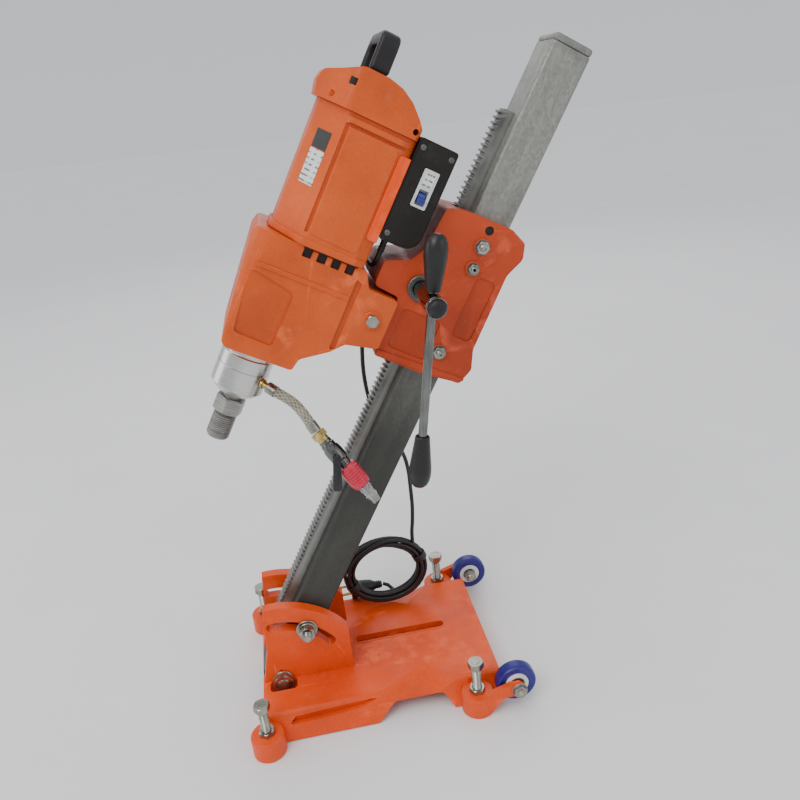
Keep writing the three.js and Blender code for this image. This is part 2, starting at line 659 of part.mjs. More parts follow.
part('spindle', join(
  turnedAt([
    [0, 287], [12.5, 287], [13.8, 289], [13.8, 318], [11, 319], [11, 321], [12, 322], [12, 505], [0, 505],
  ], SPINDLE_X, 0),
  alongZ(hexRadius(31), SPINDLE_X, 0, [322, 341], 6),
  gearZ(STAGE_2.wheel, STAGE_2.module, spindlePhase, SPINDLE_X, 0, [476, 496]),
), DARK_STEEL, column);
part('spindle_bearing', ring(12.4, 16.7, SPINDLE_X, 0, [413, 423]), ZINC, column);

// ---------------------------------------------------------------- water collar, hose and tap
const COLLAR = { radius: 31, bottom: 349, top: 411.5, inletZ: 374.4, inletAngle: -38.5 };

part('water_collar', turnedAt([
  [13, COLLAR.bottom], [24, COLLAR.bottom], [COLLAR.radius, 357],
  [COLLAR.radius, 398], [29.5, 400], [29.5, COLLAR.top],
  [13, COLLAR.top], [13, COLLAR.bottom],
], SPINDLE_X, 0, 24), ALUMINIUM, column);

// Hose and tap route, in the column frame: out of the collar, then drooping to the rear.
const INLET = new THREE.Vector3(
  SPINDLE_X + (COLLAR.radius + GAP) * Math.cos(THREE.MathUtils.degToRad(COLLAR.inletAngle)),
  (COLLAR.radius + GAP) * Math.sin(THREE.MathUtils.degToRad(COLLAR.inletAngle)),
  COLLAR.inletZ,
);
const HOSE_ROUTE = [
  [-160.6, -25.2, 374.4], [-153.5, -30.8, 374.3], [-141.3, -35, 373.2],
  [-129.8, -37.5, 371], [-119.9, -41, 367],
  [-110.6, -44, 361.6], [-101.5, -47.5, 355.6], [-94, -50.5, 351],
].map(([x, y, z]) => new THREE.Vector3(x, y, z));

function cylinderBetween(start, end, radiusStart, radiusEnd = radiusStart, sides = 16) {
  const axis = end.clone().sub(start);
  const geometry = new THREE.CylinderGeometry(radiusEnd, radiusStart, axis.length(), sides);
  const turn = new THREE.Quaternion();
  turn.setFromUnitVectors(new THREE.Vector3(0, 1, 0), axis.clone().normalize());
  geometry.applyQuaternion(turn);
  const middle = start.clone().add(end).multiplyScalar(0.5);
  geometry.translate(middle.x, middle.y, middle.z);
  return solid(geometry);
}

function tube(points, radius, sides, steps) {
  const shape = new THREE.Shape();
  shape.absarc(0, 0, radius, 0, Math.PI * 2);
  const path = new THREE.CatmullRomCurve3(points, false, 'centripetal');
  return new THREE.ExtrudeGeometry(shape, {
    steps,
    bevelEnabled: false,
    curveSegments: sides / 2,
    extrudePath: path,
  });
}

const tapAxis = new THREE.Vector3(24, -8, -12).normalize();
const along = (distance) => HOSE_ROUTE.at(-1).clone().addScaledVector(tapAxis, distance);

const inletAxis = HOSE_ROUTE[0].clone().sub(INLET).normalize();
const barbEnd = HOSE_ROUTE[0].clone().addScaledVector(inletAxis, -0.8);
part('hose_barb', cylinderBetween(INLET, barbEnd, 4), BRASS, column);
part('water_hose', tube(HOSE_ROUTE, HOSE_RADIUS, 10, 14), CLEAR_HOSE, column);
part('hose_ferrule', cylinderBetween(along(1), along(14), 8.5, 8.5, 12), BRASS, column);
part('valve_body', join(
  cylinderBetween(along(14.3), along(52), 7.5),
  cylinderBetween(along(24), along(44), 10),
), CHROME, column);
part('quick_connector', join(
  cylinderBetween(along(52.3), along(84), 12),
  cylinderBetween(along(83), along(108), 7, 5.5),
), RED_PLASTIC, column);

// The tap's lever sits on a stem on the near side and hangs down.
const stem = along(34).add(new THREE.Vector3(0, -12, 0));
const valveLever = new THREE.Group();
valveLever.position.copy(stem);
column.add(valveLever);
part('valve_lever', join(
  alongY(5, 0, 0, [-6, 0]),
  box([-4.5, 4.5], [-6, -3], [-40, 2]),
).rotate([0, -24, 0]), BLACK_PLASTIC, valveLever);

// ---------------------------------------------------------------- power cord, coil and plug
part('strain_relief', turnedAt([
  [0, 566], [3.4, 566], [3.9, 582.5], [3.9, 596], [0, 596],
], -105, -36, 16), BLACK_RUBBER, column);

// The lead leaves the box, crosses over to the far side and comes down behind the carriage ...
const UPPER_LEAD = [
  [-105, -36, 565.5], [-105, -35.8, 560], [-105, -28, 551],
  [-105, 0, 548.5], [-105, 28, 547.5], [-104.5, 48, 545],
  [-101, 60, 534], [-92, 66, 512], [-76, 68, 480], [-58, 69, 440],
  [-38, 70, 400], [-12, 71, 364], [22, 72, 336],
].map((point) => new THREE.Vector3(...point));
// ... then hangs to the coil that stands on the base plate.
const LOWER_LEAD = [
  [185.5, 72.2, 321.3], [198, 73, 300], [207, 74, 276], [210.5, 75, 252], [211, 75, 225], [211, 75, 197],
  [209, 75, 172], [206, 75, 146],
].map((point) => new THREE.Vector3(...point));
part('power_cord_upper', tube(UPPER_LEAD, CORD_RADIUS, 8, 32), BLACK_RUBBER, column);
part('power_cord_lower', tube(LOWER_LEAD, CORD_RADIUS, 8, 14), BLACK_RUBBER, base);

const COIL = { x: 162, y: 75, z: 97, radius: 47, thickness: 9, stretch: 1.15 };
const coilProfile = [];
for (let i = 0; i <= 8; i++) {
  const angle = (i / 8) * Math.PI * 2;
  coilProfile.push([COIL.radius + COIL.thickness * Math.cos(angle), COIL.thickness * Math.sin(angle)]);
}
const coilGeometry = new THREE.LatheGeometry(coilProfile.map(([r, y]) => new THREE.Vector2(r, y)), 24);
coilGeometry.scale(COIL.stretch, 1, 1);
coilGeometry.translate(COIL.x, COIL.y, COIL.z);
part('cord_coil', coilGeometry, BLACK_RUBBER, base);

const plug = part('power_plug', join(
  alongZ(11, 0, 0, [0, 34], 12),
  alongZ(6, 0, 0, [33, 48], 12),
  alongZ(2.4, 0, -9.5, [-18, 1], 8),
  alongZ(2.4, 0, 9.5, [-18, 1], 8),
  alongZ(16, 0, 0, [0, 8], 12),
), BLACK_RUBBER, base);
plug.rotation.y = Math.PI / 2;
plug.position.set(108, 101, PLATE.top + 16.2);

// ---------------------------------------------------------------- origin under the middle of the rig
const CORD_PARTS = [
  'power_cord_upper', 'power_cord_lower', 'cord_coil', 'power_plug',
  'water_hose', 'hose_ferrule', 'valve_body', 'valve_lever', 'quick_connector',
];
rig.updateMatrixWorld(true);
const bounds = new THREE.Box3();
rig.traverse((object) => {
  if (object.isMesh && !CORD_PARTS.includes(object.name)) bounds.expandByObject(object, true);
});
const middle = bounds.getCenter(new THREE.Vector3());
rig.position.set(-middle.x, -middle.y, -bounds.min.z);
rig.updateMatrixWorld(true);

export default rig;
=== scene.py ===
"""Looks of the core drill rig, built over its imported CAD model."""
import math
import bmesh
import bpy
from mathutils import Matrix, Vector


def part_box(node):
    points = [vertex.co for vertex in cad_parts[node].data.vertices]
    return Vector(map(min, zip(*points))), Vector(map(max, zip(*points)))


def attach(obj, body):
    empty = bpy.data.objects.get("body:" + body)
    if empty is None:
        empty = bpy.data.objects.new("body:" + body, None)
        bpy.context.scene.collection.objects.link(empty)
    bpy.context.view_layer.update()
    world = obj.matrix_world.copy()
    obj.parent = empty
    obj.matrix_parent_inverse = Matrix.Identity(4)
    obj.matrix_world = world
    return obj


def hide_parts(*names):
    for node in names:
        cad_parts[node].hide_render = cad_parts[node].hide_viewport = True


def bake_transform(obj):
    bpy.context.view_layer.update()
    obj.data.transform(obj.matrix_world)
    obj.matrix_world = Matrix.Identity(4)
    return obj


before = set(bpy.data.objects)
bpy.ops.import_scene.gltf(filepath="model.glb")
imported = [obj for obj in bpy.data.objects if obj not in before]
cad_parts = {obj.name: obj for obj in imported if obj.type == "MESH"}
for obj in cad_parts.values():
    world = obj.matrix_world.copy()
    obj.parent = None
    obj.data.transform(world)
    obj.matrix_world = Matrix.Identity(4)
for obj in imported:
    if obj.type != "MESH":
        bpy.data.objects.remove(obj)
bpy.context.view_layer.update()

MM = 0.001
TILT = math.radians(29.6)
PIVOT_HEIGHT = 40.5
pivot_low, pivot_high = (Vector(corner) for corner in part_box("pivot_bolt"))
PIVOT = Vector(((pivot_low.x + pivot_high.x) / 2, 0, PIVOT_HEIGHT * MM))
BASE = Matrix.Translation(PIVOT - Vector((0, 0, PIVOT_HEIGHT * MM)))
COLUMN = Matrix.Translation(PIVOT) @ Matrix.Rotation(TILT, 4, "Y")
SCALE = Matrix.Scale(MM, 4)

# axes and places in millimetres, each in the frame of the body it belongs to
PIVOT_AXIS = (0, 0, PIVOT_HEIGHT)
CLAMP_REACH = 84
CLAMP_AXIS = (0, 0, CLAMP_REACH)
CLAMP_ENDS = (92, 34)
WHEEL = (295, 0, 34)
LUG_X = {"front": -24.5, "rear": 244.5}
LUG_Y = {"near": -120, "far": 120}
PINION = (-48.9, 0, 548.8)
SPINDLE = (-192.5, 0, 0)
MOTOR = (-158, 0, 0)
ARM_SCREW = (-87, 0, 497)
LEAD_ENTRY = (-105, -36, 0)
PLUG = (0, 101, 54.2)
SIDES = (-1, 1)


def at(where, x, y, z):
    """A point of the base's or the column's frame, given in millimetres, in the scene."""
    return where @ Vector((x * MM, y * MM, z * MM))


def in_scene(name, data):
    """A new object of the scene."""
    thing = bpy.data.objects.new(name, data)
    bpy.context.scene.collection.objects.link(thing)
    return thing


def baked(name, mesh):
    """Mesh data made from a bmesh, which is used up."""
    data = bpy.data.meshes.new(name)
    mesh.to_mesh(data)
    mesh.free()
    return data


# ------------------------------------------------------------------ camera
def make_camera():
    """The camera at the photograph's viewing angle."""
    yaw, pitch, roll = (math.radians(a) for a in (7.52, 23.06, -5.86))
    forward = Vector((math.sin(yaw) * math.cos(pitch), math.cos(yaw) * math.cos(pitch), -math.sin(pitch)))
    right = Vector((math.cos(yaw), -math.sin(yaw), 0))
    up = right.cross(forward)
    right_rolled = math.cos(roll) * right + math.sin(roll) * up
    up_rolled = -math.sin(roll) * right + math.cos(roll) * up
    turn = Matrix((right_rolled, up_rolled, -forward)).transposed().to_4x4()
    data = bpy.data.cameras.new("camera")
    data.sensor_width = 36
    data.lens = 34.03
    data.clip_start = 0.05
    camera = in_scene("camera", data)
    camera.matrix_world = Matrix.Translation(at(BASE, 86.98, -849.25, 758.13)) @ turn
    bpy.context.scene.camera = camera


make_camera()


# ------------------------------------------------------------------ materials
class Shader:
    """One procedural material: a Principled shader and the nodes that feed it."""

    def __init__(self, name, **inputs):
        self.material = bpy.data.materials.new(name)
        self.material.use_nodes = True
        self.tree = self.material.node_tree
        self.shader = self.tree.nodes["Principled BSDF"]
        for key, value in inputs.items():
            self.shader.inputs[key.replace("_", " ")].default_value = value
        self.coords = self.add("ShaderNodeTexCoord").outputs["Object"]

    def add(self, kind, links=None, **settings):
        node = self.tree.nodes.new(kind)
        for key, value in settings.items():
            setattr(node, key, value)
        for key, source in (links or {}).items():
            if hasattr(source, "is_linked"):
                self.tree.links.new(source, node.inputs[key])
            else:
                node.inputs[key].default_value = source
        return node

    def mapped(self, scale=(1, 1, 1), turned=False):
        """Object coordinates, stretched, and turned to lie along the column if asked."""
        rotation = (0, -TILT, 0) if turned else (0, 0, 0)
        turn = self.add("ShaderNodeMapping", {"Vector": self.coords, "Rotation": rotation})
        return self.add("ShaderNodeMapping", {"Vector": turn.outputs[0], "Scale": scale}).outputs[0]

    def noise(self, scale, detail=4.0, vector=None, roughness=0.55):
        links = {"Vector": vector or self.coords, "Scale": scale, "Detail": detail, "Roughness": roughness}
        return self.add("ShaderNodeTexNoise", links).outputs["Fac"]

    def ramp(self, factor, *stops):
        node = self.add("ShaderNodeValToRGB", {"Fac": factor})
        elements = node.color_ramp.elements
        while len(elements) < len(stops):
            elements.new(0.5)
        for element, (position, color) in zip(elements, stops):
            element.position = position
            element.color = (*color, 1) if len(color) == 3 else color
        return node.outputs["Color"]

    def mix(self, factor, a, b, blend="MIX"):
        node = self.add("ShaderNodeMix", data_type="RGBA", blend_type=blend)
        for socket, value in ((node.inputs[0], factor), (node.inputs[6], a), (node.inputs[7], b)):
            if hasattr(value, "is_linked"):
                self.tree.links.new(value, socket)
            elif isinstance(value, tuple):
                socket.default_value = (*value, 1)
            else:
                socket.default_value = value
        return node.outputs[2]

    def spread(self, value, low, high, source=(0.0, 1.0)):
        links = {"Value": value, "From Min": source[0], "From Max": source[1], "To Min": low, "To Max": high}
        return self.add("ShaderNodeMapRange", links).outputs[0]

    def pointiness(self, low, high):
        geometry = self.add("ShaderNodeNewGeometry")
        return self.spread(geometry.outputs["Pointiness"], 0.0, 1.0, (low, high))

    def bump(self, *layers):
        """Stacked bumps: (height, strength, distance in metres)."""
        normal = None
        for height, strength, distance in layers:
            links = {"Height": height, "Strength": strength, "Distance": distance}
            if normal:
                links["Normal"] = normal
            normal = self.add("ShaderNodeBump", links).outputs[0]
        self.tree.links.new(normal, self.shader.inputs["Normal"])

    def feed(self, **sockets):
        for key, source in sockets.items():
            self.tree.links.new(source, self.shader.inputs[key.replace("_", " ")])
        return self.material


def tinted(color, factor, lift=0.0):
    """A colour made lighter or darker, and no brighter than white."""
    return tuple(min(1.0, factor * c + lift) for c in color)


def paint(name, dark, middle, light, gloss=0.42):
    """Sprayed paint on a casting: drifting tone, a fine peel, worn edges with a painted highlight, painted
    shade in the corners, grime and dust.
    """
    s = Shader(name, Roughness=gloss, Specular_IOR_Level=0.28, Coat_Weight=0.06, Coat_Roughness=0.25)
    tone = s.ramp(s.noise(9, 5), (0.3, dark), (0.5, middle), (0.72, light))
    grain = s.ramp(s.noise(420, 3), (0.35, (0.86, 0.86, 0.86)), (0.65, (1.06, 1.06, 1.06)))
    color = s.mix(0.5, tone, grain, "MULTIPLY")
    # the edges are lightened, partly as worn paint and partly as a painted highlight
    wear_and_highlight = s.spread(s.noise(60, 4), 0.0, 1.0, (0.45, 0.62))
    edge = s.add("ShaderNodeMath", {0: s.pointiness(0.56, 0.62), 1: wear_and_highlight}, operation="MULTIPLY").outputs[0]
    edge = s.spread(edge, 0.0, 0.55)
    color = s.mix(edge, color, tinted(light, 1.3, 0.03))
    # painted shade: the paint is darkened in the concave corners, where shade falls
    corner = s.spread(s.pointiness(0.49, 0.42), 0.0, 0.6)
    color = s.mix(corner, color, tinted(dark, 0.35))
    grime = s.spread(s.noise(14, 8), 0.0, 0.35, (0.52, 0.8))
    color = s.mix(grime, color, tinted(dark, 0.55))
    dust = s.spread(s.noise(90, 8), 0.0, 0.12, (0.58, 0.8))
    color = s.mix(dust, color, (0.5, 0.3, 0.2))
    s.bump((s.noise(35, 4), 0.22, 0.0012), (s.noise(700, 2), 0.16, 0.0002))
    rough = s.spread(s.noise(45, 5), gloss - 0.08, gloss + 0.16, (0.3, 0.7))
    return s.feed(Base_Color=color, Roughness=rough)


def steel(name, dark, light, rough=(0.3, 0.5), metallic=0.9, scale=(1, 1, 1), turned=False, depth=0.0001):
    """Bare or plated metal with streaks along one direction, stains, a brushed bump and lightened edges that
    are partly wear and partly a painted highlight.
    """
    s = Shader(name, Metallic=metallic)
    streak = s.noise(60, 6, s.mapped(scale, turned))
    stain = s.noise(24, 5)
    color = s.ramp(streak, (0.3, dark), (0.7, light))
    color = s.mix(s.spread(stain, 0.0, 0.5, (0.5, 0.72)), color, tinted(dark, 0.55))
    # painted highlight along the edges, partly standing for wear
    color = s.mix(s.spread(s.pointiness(0.56, 0.64), 0.0, 0.6), color, tinted(light, 1.3))
    s.bump((streak, 0.25, depth), (s.noise(900, 2), 0.1, depth))
    return s.feed(Base_Color=color, Roughness=s.spread(streak, rough[0], rough[1], (0.3, 0.7)))


def plastic(name, dark, light, rough=0.45, grain=900, **inputs):
    """Moulded plastic or rubber with a fine sparked grain, scuffs and dust, and lightened edges that are
    partly wear and partly a painted highlight.
    """
    s = Shader(name, Roughness=rough, **inputs)
    color = s.ramp(s.noise(16, 5), (0.3, dark), (0.7, light))
    scuff = s.spread(s.noise(70, 6), 0.0, 0.3, (0.55, 0.75))
    color = s.mix(scuff, color, tinted(light, 1.5, 0.02))
    # painted highlight along the edges, partly standing for wear
    color = s.mix(s.spread(s.pointiness(0.57, 0.66), 0.0, 0.4), color, tinted(light, 1.8, 0.02))
    s.bump((s.noise(grain, 3), 0.25, 0.00012), (s.noise(50, 3), 0.1, 0.0004))
    return s.feed(Base_Color=color, Roughness=s.spread(s.noise(90, 5), rough - 0.07, rough + 0.12,
                                                       (0.3, 0.7)))


def galvanised():
    s = Shader("galvanised_tube", Metallic=0.35, Specular_IOR_Level=0.3)
    along = s.mapped((1, 1, 0.05), turned=True)
    spangle = s.add("ShaderNodeTexVoronoi", {"Vector": s.mapped((1, 1, 0.6), turned=True), "Scale": 420.0})
    cells = s.ramp(spangle.outputs["Color"], (0.1, (0.24, 0.245, 0.225)), (0.9, (0.33, 0.335, 0.305)))
    streak = s.ramp(s.noise(70, 6, along), (0.3, (0.6, 0.6, 0.58)), (0.7, (1.1, 1.1, 1.08)))
    color = s.mix(0.75, cells, streak, "MULTIPLY")
    color = s.mix(s.spread(s.noise(11, 6), 0.0, 0.55, (0.5, 0.75)), color, (0.07, 0.073, 0.067))
    # the colour turns darker towards the bottom of the column
    height = s.add("ShaderNodeSeparateXYZ", {"Vector": s.mapped(turned=True)}).outputs[2]
    darker_towards_bottom = s.spread(height, 0.9, 0.0, (0.3, 0.56))
    color = s.mix(darker_towards_bottom, color, (0.03, 0.031, 0.027))
    # painted highlight along the tube's corners
    color = s.mix(s.spread(s.pointiness(0.56, 0.6), 0.0, 0.8), color, (0.6, 0.61, 0.58))
    s.bump((s.noise(70, 5, along), 0.2, 0.0002), (s.noise(500, 3), 0.12, 0.00012))
    return s.feed(Base_Color=color, Roughness=s.spread(s.noise(20, 6), 0.36, 0.58, (0.3, 0.7)))


def hose_wall():
    s = Shader("hose_wall", Transmission_Weight=0.55, IOR=1.45)
    color = s.ramp(s.noise(90, 4), (0.3, (0.2, 0.19, 0.12)), (0.7, (0.42, 0.4, 0.29)))
    s.bump((s.noise(250, 3), 0.2, 0.0003))
    return s.feed(Base_Color=color, Roughness=s.spread(s.noise(60, 4), 0.12, 0.3, (0.3, 0.7)))


ORANGE_BASE = paint("orange_base", (0.6, 0.05, 0.003), (0.76, 0.068, 0.004), (0.86, 0.088, 0.007), 0.4)
ORANGE_MOTOR = paint("orange_motor", (0.47, 0.062, 0.006), (0.62, 0.086, 0.01), (0.72, 0.112, 0.018), 0.42)
ORANGE_CARRIAGE = paint("orange_carriage", (0.36, 0.036, 0.006), (0.46, 0.048, 0.009), (0.55, 0.062, 0.013),
                        0.42)
# a lighter copy of the motor's paint: a painted highlight on the rear strips
ORANGE_MOTOR_LIT = paint("orange_motor_lit", (0.76, 0.06, 0.003), (0.86, 0.075, 0.004), (0.92, 0.09, 0.006), 0.5)
GALVANISED = galvanised()
DARK_STEEL = steel("dark_steel", (0.09, 0.09, 0.085), (0.2, 0.195, 0.185), (0.32, 0.55), 0.85, (1, 1, 6),
                   True)
SPINDLE_STEEL = steel("spindle_steel", (0.2, 0.195, 0.18), (0.4, 0.39, 0.37), (0.32, 0.5), 0.85,
                      (0.3, 0.3, 9), True)
RACK_STEEL = steel("rack_steel", (0.13, 0.13, 0.12), (0.28, 0.28, 0.26), (0.35, 0.55), 0.85, (1, 6, 1), True)
ZINC = steel("zinc_plate", (0.2, 0.195, 0.16), (0.46, 0.45, 0.39), (0.2, 0.38), 0.95)
CHROME = steel("chrome_bar", (0.11, 0.115, 0.11), (0.22, 0.225, 0.215), (0.08, 0.18), 1.0,
               (6, 6, 0.3), False, 0.00002)
ALUMINIUM = steel("turned_aluminium", (0.52, 0.52, 0.5), (0.66, 0.66, 0.64), (0.2, 0.32), 0.95,
                  (0.2, 0.2, 40), True, 0.00003)
BRASS = steel("brass_fitting", (0.42, 0.29, 0.08), (0.72, 0.56, 0.22), (0.2, 0.36), 0.95)
BRONZE = steel("bronze_gib", (0.24, 0.13, 0.05), (0.4, 0.24, 0.1), (0.3, 0.5), 0.9)
COPPER = steel("copper_winding", (0.3, 0.1, 0.04), (0.5, 0.2, 0.09), (0.28, 0.5), 0.9, (12, 12, 1), True)
BLACK_PLASTIC = plastic("black_plastic", (0.009, 0.009, 0.01), (0.018, 0.018, 0.019), 0.42,
                        Specular_IOR_Level=0.32)
GRIP_PLASTIC = plastic("grip_plastic", (0.009, 0.009, 0.009), (0.018, 0.018, 0.018), 0.3, 400,
                       Specular_IOR_Level=0.35)
BOX_PLASTIC = plastic("box_plastic", (0.01, 0.008, 0.006), (0.019, 0.016, 0.013), 0.48, 1100,
                      Specular_IOR_Level=0.28)
CORD_RUBBER = plastic("cord_rubber", (0.007, 0.007, 0.007), (0.014, 0.014, 0.014), 0.45, 600)
BLUE_TYRE = plastic("blue_tyre", (0.008, 0.006, 0.13), (0.015, 0.012, 0.22), 0.34)
WHITE_RING = plastic("white_ring", (0.62, 0.62, 0.6), (0.82, 0.82, 0.8), 0.38)
BRAID_THREAD = plastic("braid_thread", (0.4, 0.39, 0.32), (0.6, 0.58, 0.5), 0.3, 500)
BREAKER_WHITE = plastic("breaker_white", (0.55, 0.57, 0.55), (0.72, 0.74, 0.72), 0.35)
LEVER_BLUE = plastic("lever_blue", (0.02, 0.025, 0.17), (0.035, 0.045, 0.27), 0.3)
LABEL_BLACK = plastic("label_black", (0.022, 0.028, 0.025), (0.04, 0.045, 0.04), 0.4, 300)
RED_GLOSS = plastic("red_coupling", (0.5, 0.012, 0.035), (0.74, 0.04, 0.085), 0.2, 300,
                    Transmission_Weight=0.12)
CLEAR_TIP = plastic("clear_tip", (0.5, 0.46, 0.46), (0.75, 0.72, 0.71), 0.14, 200, Transmission_Weight=0.75)
DARK_HOLE = plastic("hole_shadow", (0.008, 0.006, 0.005), (0.016, 0.012, 0.01), 0.8)
HOSE_WALL = hose_wall()


def label_print():
    """A rating plate with rows of grey bars where its printing would be."""
    s = Shader("rating_plate", Roughness=0.35)
    vector = s.mapped(turned=True)
    axes = s.add("ShaderNodeSeparateXYZ", {"Vector": vector}).outputs
    rows = s.add("ShaderNodeMath", {0: axes[2], 1: 1100.0}, operation="MULTIPLY").outputs[0]
    rows = s.add("ShaderNodeMath", {0: rows}, operation="SINE").outputs[0]
    bars = s.spread(rows, 0.0, 1.0, (0.35, 0.6))
    broken = s.spread(s.noise(260, 2, s.mapped((1, 1, 0.15), turned=True)), 0.0, 1.0, (0.46, 0.52))
    ink = s.add("ShaderNodeMath", {0: bars, 1: broken}, operation="MULTIPLY").outputs[0]
    color = s.mix(ink, (0.72, 0.73, 0.7), (0.16, 0.17, 0.16))
    s.bump((s.noise(120, 3), 0.08, 0.0002))
    return s.feed(Base_Color=color)


RATING_PLATE = label_print()


# ------------------------------------------------------------------ mesh building, in millimetres
def rounded(points, radius, steps=5):
    """A closed outline with each corner turned into a small curve. radius is one number or one per corner."""
    out = []
    count = len(points)
    for i, point in enumerate(points):
        r = radius[i] if isinstance(radius, (list, tuple)) else radius
        corner, before, after = Vector(point), Vector(points[i - 1]), Vector(points[(i + 1) % count])
        u, v = before - corner, after - corner
        half = u.angle(v) / 2
        if r <= 0 or half > 1.5:
            out.append(tuple(corner))
            continue
        reach = min(r / math.tan(half), 0.48 * u.length, 0.48 * v.length)
        start, end = corner + u.normalized() * reach, corner + v.normalized() * reach
        for k in range(steps + 1):
            t = k / steps
            out.append(tuple((1 - t) ** 2 * start + 2 * t * (1 - t) * corner + t * t * end))
    return out


def arc(cx, cy, radius, start, end, steps):
    """Points on an arc, angles in degrees."""
    angles = [math.radians(start + (end - start) * k / steps) for k in range(steps + 1)]
    return [(cx + radius * math.cos(a), cy + radius * math.sin(a)) for a in angles]


def prism(points, low, high, axis="Y"):
    """An outline pushed along an axis. Outline pairs are (x, z) for Y, (x, y) for Z and (y, z) for X."""
    place = {"Y": lambda p, h: (p[0], h, p[1]), "Z": lambda p, h: (p[0], p[1], h), "X": lambda p,
             h: (h, p[0], p[1])}
    mesh = bmesh.new()
    rings = [[mesh.verts.new(place[axis](p, h)) for p in points] for h in (low, high)]
    mesh.faces.new(rings[0])
    mesh.faces.new(rings[1])
    for i in range(len(points)):
        mesh.faces.new((rings[0][i - 1], rings[0][i], rings[1][i], rings[1][i - 1]))
    bmesh.ops.recalc_face_normals(mesh, faces=mesh.faces)
    return mesh


def panel(x, z):
    """The corners of a rectangle between two values of x and two of z."""
    return [(x[0], z[0]), (x[1], z[0]), (x[1], z[1]), (x[0], z[1])]


def block(x, y, z):
    return prism(panel(x, z), y[0], y[1])


def span(sign, near, far):
    """The two heights of a shape on one side of the middle plane, the lower one first."""
    return sorted((sign * near, sign * far))


def lathe(profile, axis="Z", centre=(0, 0, 0), segments=48):
    """A turned shape. profile is (radius, height) pairs; off the axis at both ends it closes on itself."""
    mesh = bmesh.new()
    rings = []
    for radius, height in profile:
        ring = []
        for k in range(1 if radius < 1e-6 else segments):
            a = 2 * math.pi * k / segments
            u, v = radius * math.cos(a), radius * math.sin(a)
            spot = {"Z": (u, v, height), "Y": (u, height, v), "X": (height, u, v)}[axis]
            ring.append(mesh.verts.new([c + o for c, o in zip(spot, centre)]))
        rings.append(ring)
    pairs = list(zip(rings, rings[1:]))
    if len(rings[0]) > 1 and len(rings[-1]) > 1:
        pairs.append((rings[-1], rings[0]))
    for a, b in pairs:
        for k in range(segments):
            j = (k + 1) % segments
            near = [a[0]] if len(a) == 1 else [a[k], a[j]]
            far = [b[0]] if len(b) == 1 else [b[j], b[k]]
            if len(near) + len(far) > 2:
                mesh.faces.new(near + far)
    bmesh.ops.recalc_face_normals(mesh, faces=mesh.faces)
    return mesh


def rod(radius, low, high, axis="Z", centre=(0, 0, 0), chamfer=0.5, segments=48):
    c = min(chamfer, radius * 0.5, abs(high - low) * 0.4)
    profile = [(0, low), (radius - c, low), (radius, low + c), (radius, high - c), (radius - c, high),
               (0, high)]
    return lathe(profile, axis, centre, segments)


def merged(*meshes):
    """Several meshes as one, left as they are."""
    whole = bmesh.new()
    for mesh in meshes:
        data = baked("part", mesh)
        whole.from_mesh(data)
        bpy.data.meshes.remove(data)
    return whole


def boolean(mesh, operation, tools):
    base, *cutters = [in_scene("tool", baked("tool", shape)) for shape in (mesh, *tools)]
    for cutter in cutters:
        step = base.modifiers.new("step", "BOOLEAN")
        step.operation = operation
        step.object = cutter
        step.solver = "EXACT"
    shown = base.evaluated_get(bpy.context.evaluated_depsgraph_get())
    data = bpy.data.meshes.new_from_object(shown)
    result = bmesh.new()
    result.from_mesh(data)
    for thing in (base, *cutters):
        bpy.data.meshes.remove(thing.data)
    bpy.data.meshes.remove(data)
    bmesh.ops.remove_doubles(result, verts=result.verts, dist=0.002)
    return result


def cut(mesh, *tools):
    return boolean(mesh, "DIFFERENCE", tools)


def join(mesh, *tools):
    return boolean(mesh, "UNION", tools)


def meet(mesh, *tools):
    return boolean(mesh, "INTERSECT", tools)


def turn(mesh, degrees, axis, centre=(0, 0, 0)):
    move = Matrix.Translation(centre) @ Matrix.Rotation(math.radians(degrees), 4, axis)
    mesh.transform(move @ Matrix.Translation([-c for c in centre]))
    return mesh


def shift(mesh, x, y, z):
    mesh.transform(Matrix.Translation((x, y, z)))
    return mesh


def hexagon(across, low, high, axis="Y", centre=(0, 0, 0), angle=30):
    """A hexagon head or nut with its outer corners turned off."""
    radius = across / math.sqrt(3)
    sides = arc(0, 0, radius, angle, angle + 300, 5)
    body = prism(sides, low, high, axis)
    c = 0.12 * across
    profile = [(0, low), (radius - 0.12 * radius, low), (radius * 1.01, low + c / 2),
               (radius * 1.01, high - c / 2), (radius - 0.12 * radius, high), (0, high)]
    head = meet(body, lathe(profile, axis, (0, 0, 0), 36))
    return shift(head, *centre)


def thread(radius, low, high, pitch=1.75, axis="Z", centre=(0, 0, 0), segments=28):
    """A screw's shank with its thread crests as close rings."""
    profile = [(0, low), (radius * 0.86, low)]
    z = low + pitch / 2
    while z < high - pitch:
        profile += [(radius * 0.87, z), (radius, z + pitch * 0.42), (radius, z + pitch * 0.55)]
        z += pitch
    profile += [(radius * 0.87, high), (0, high)]
    return lathe(profile, axis, centre, segments)


def frame_between(start, end):
    axis = (end - start).normalized()
    return Matrix.Translation(start) @ axis.to_track_quat("Z", "Y").to_matrix().to_4x4()


def placed(mesh, start, end):
    mesh.transform(frame_between(start, end))
    return mesh


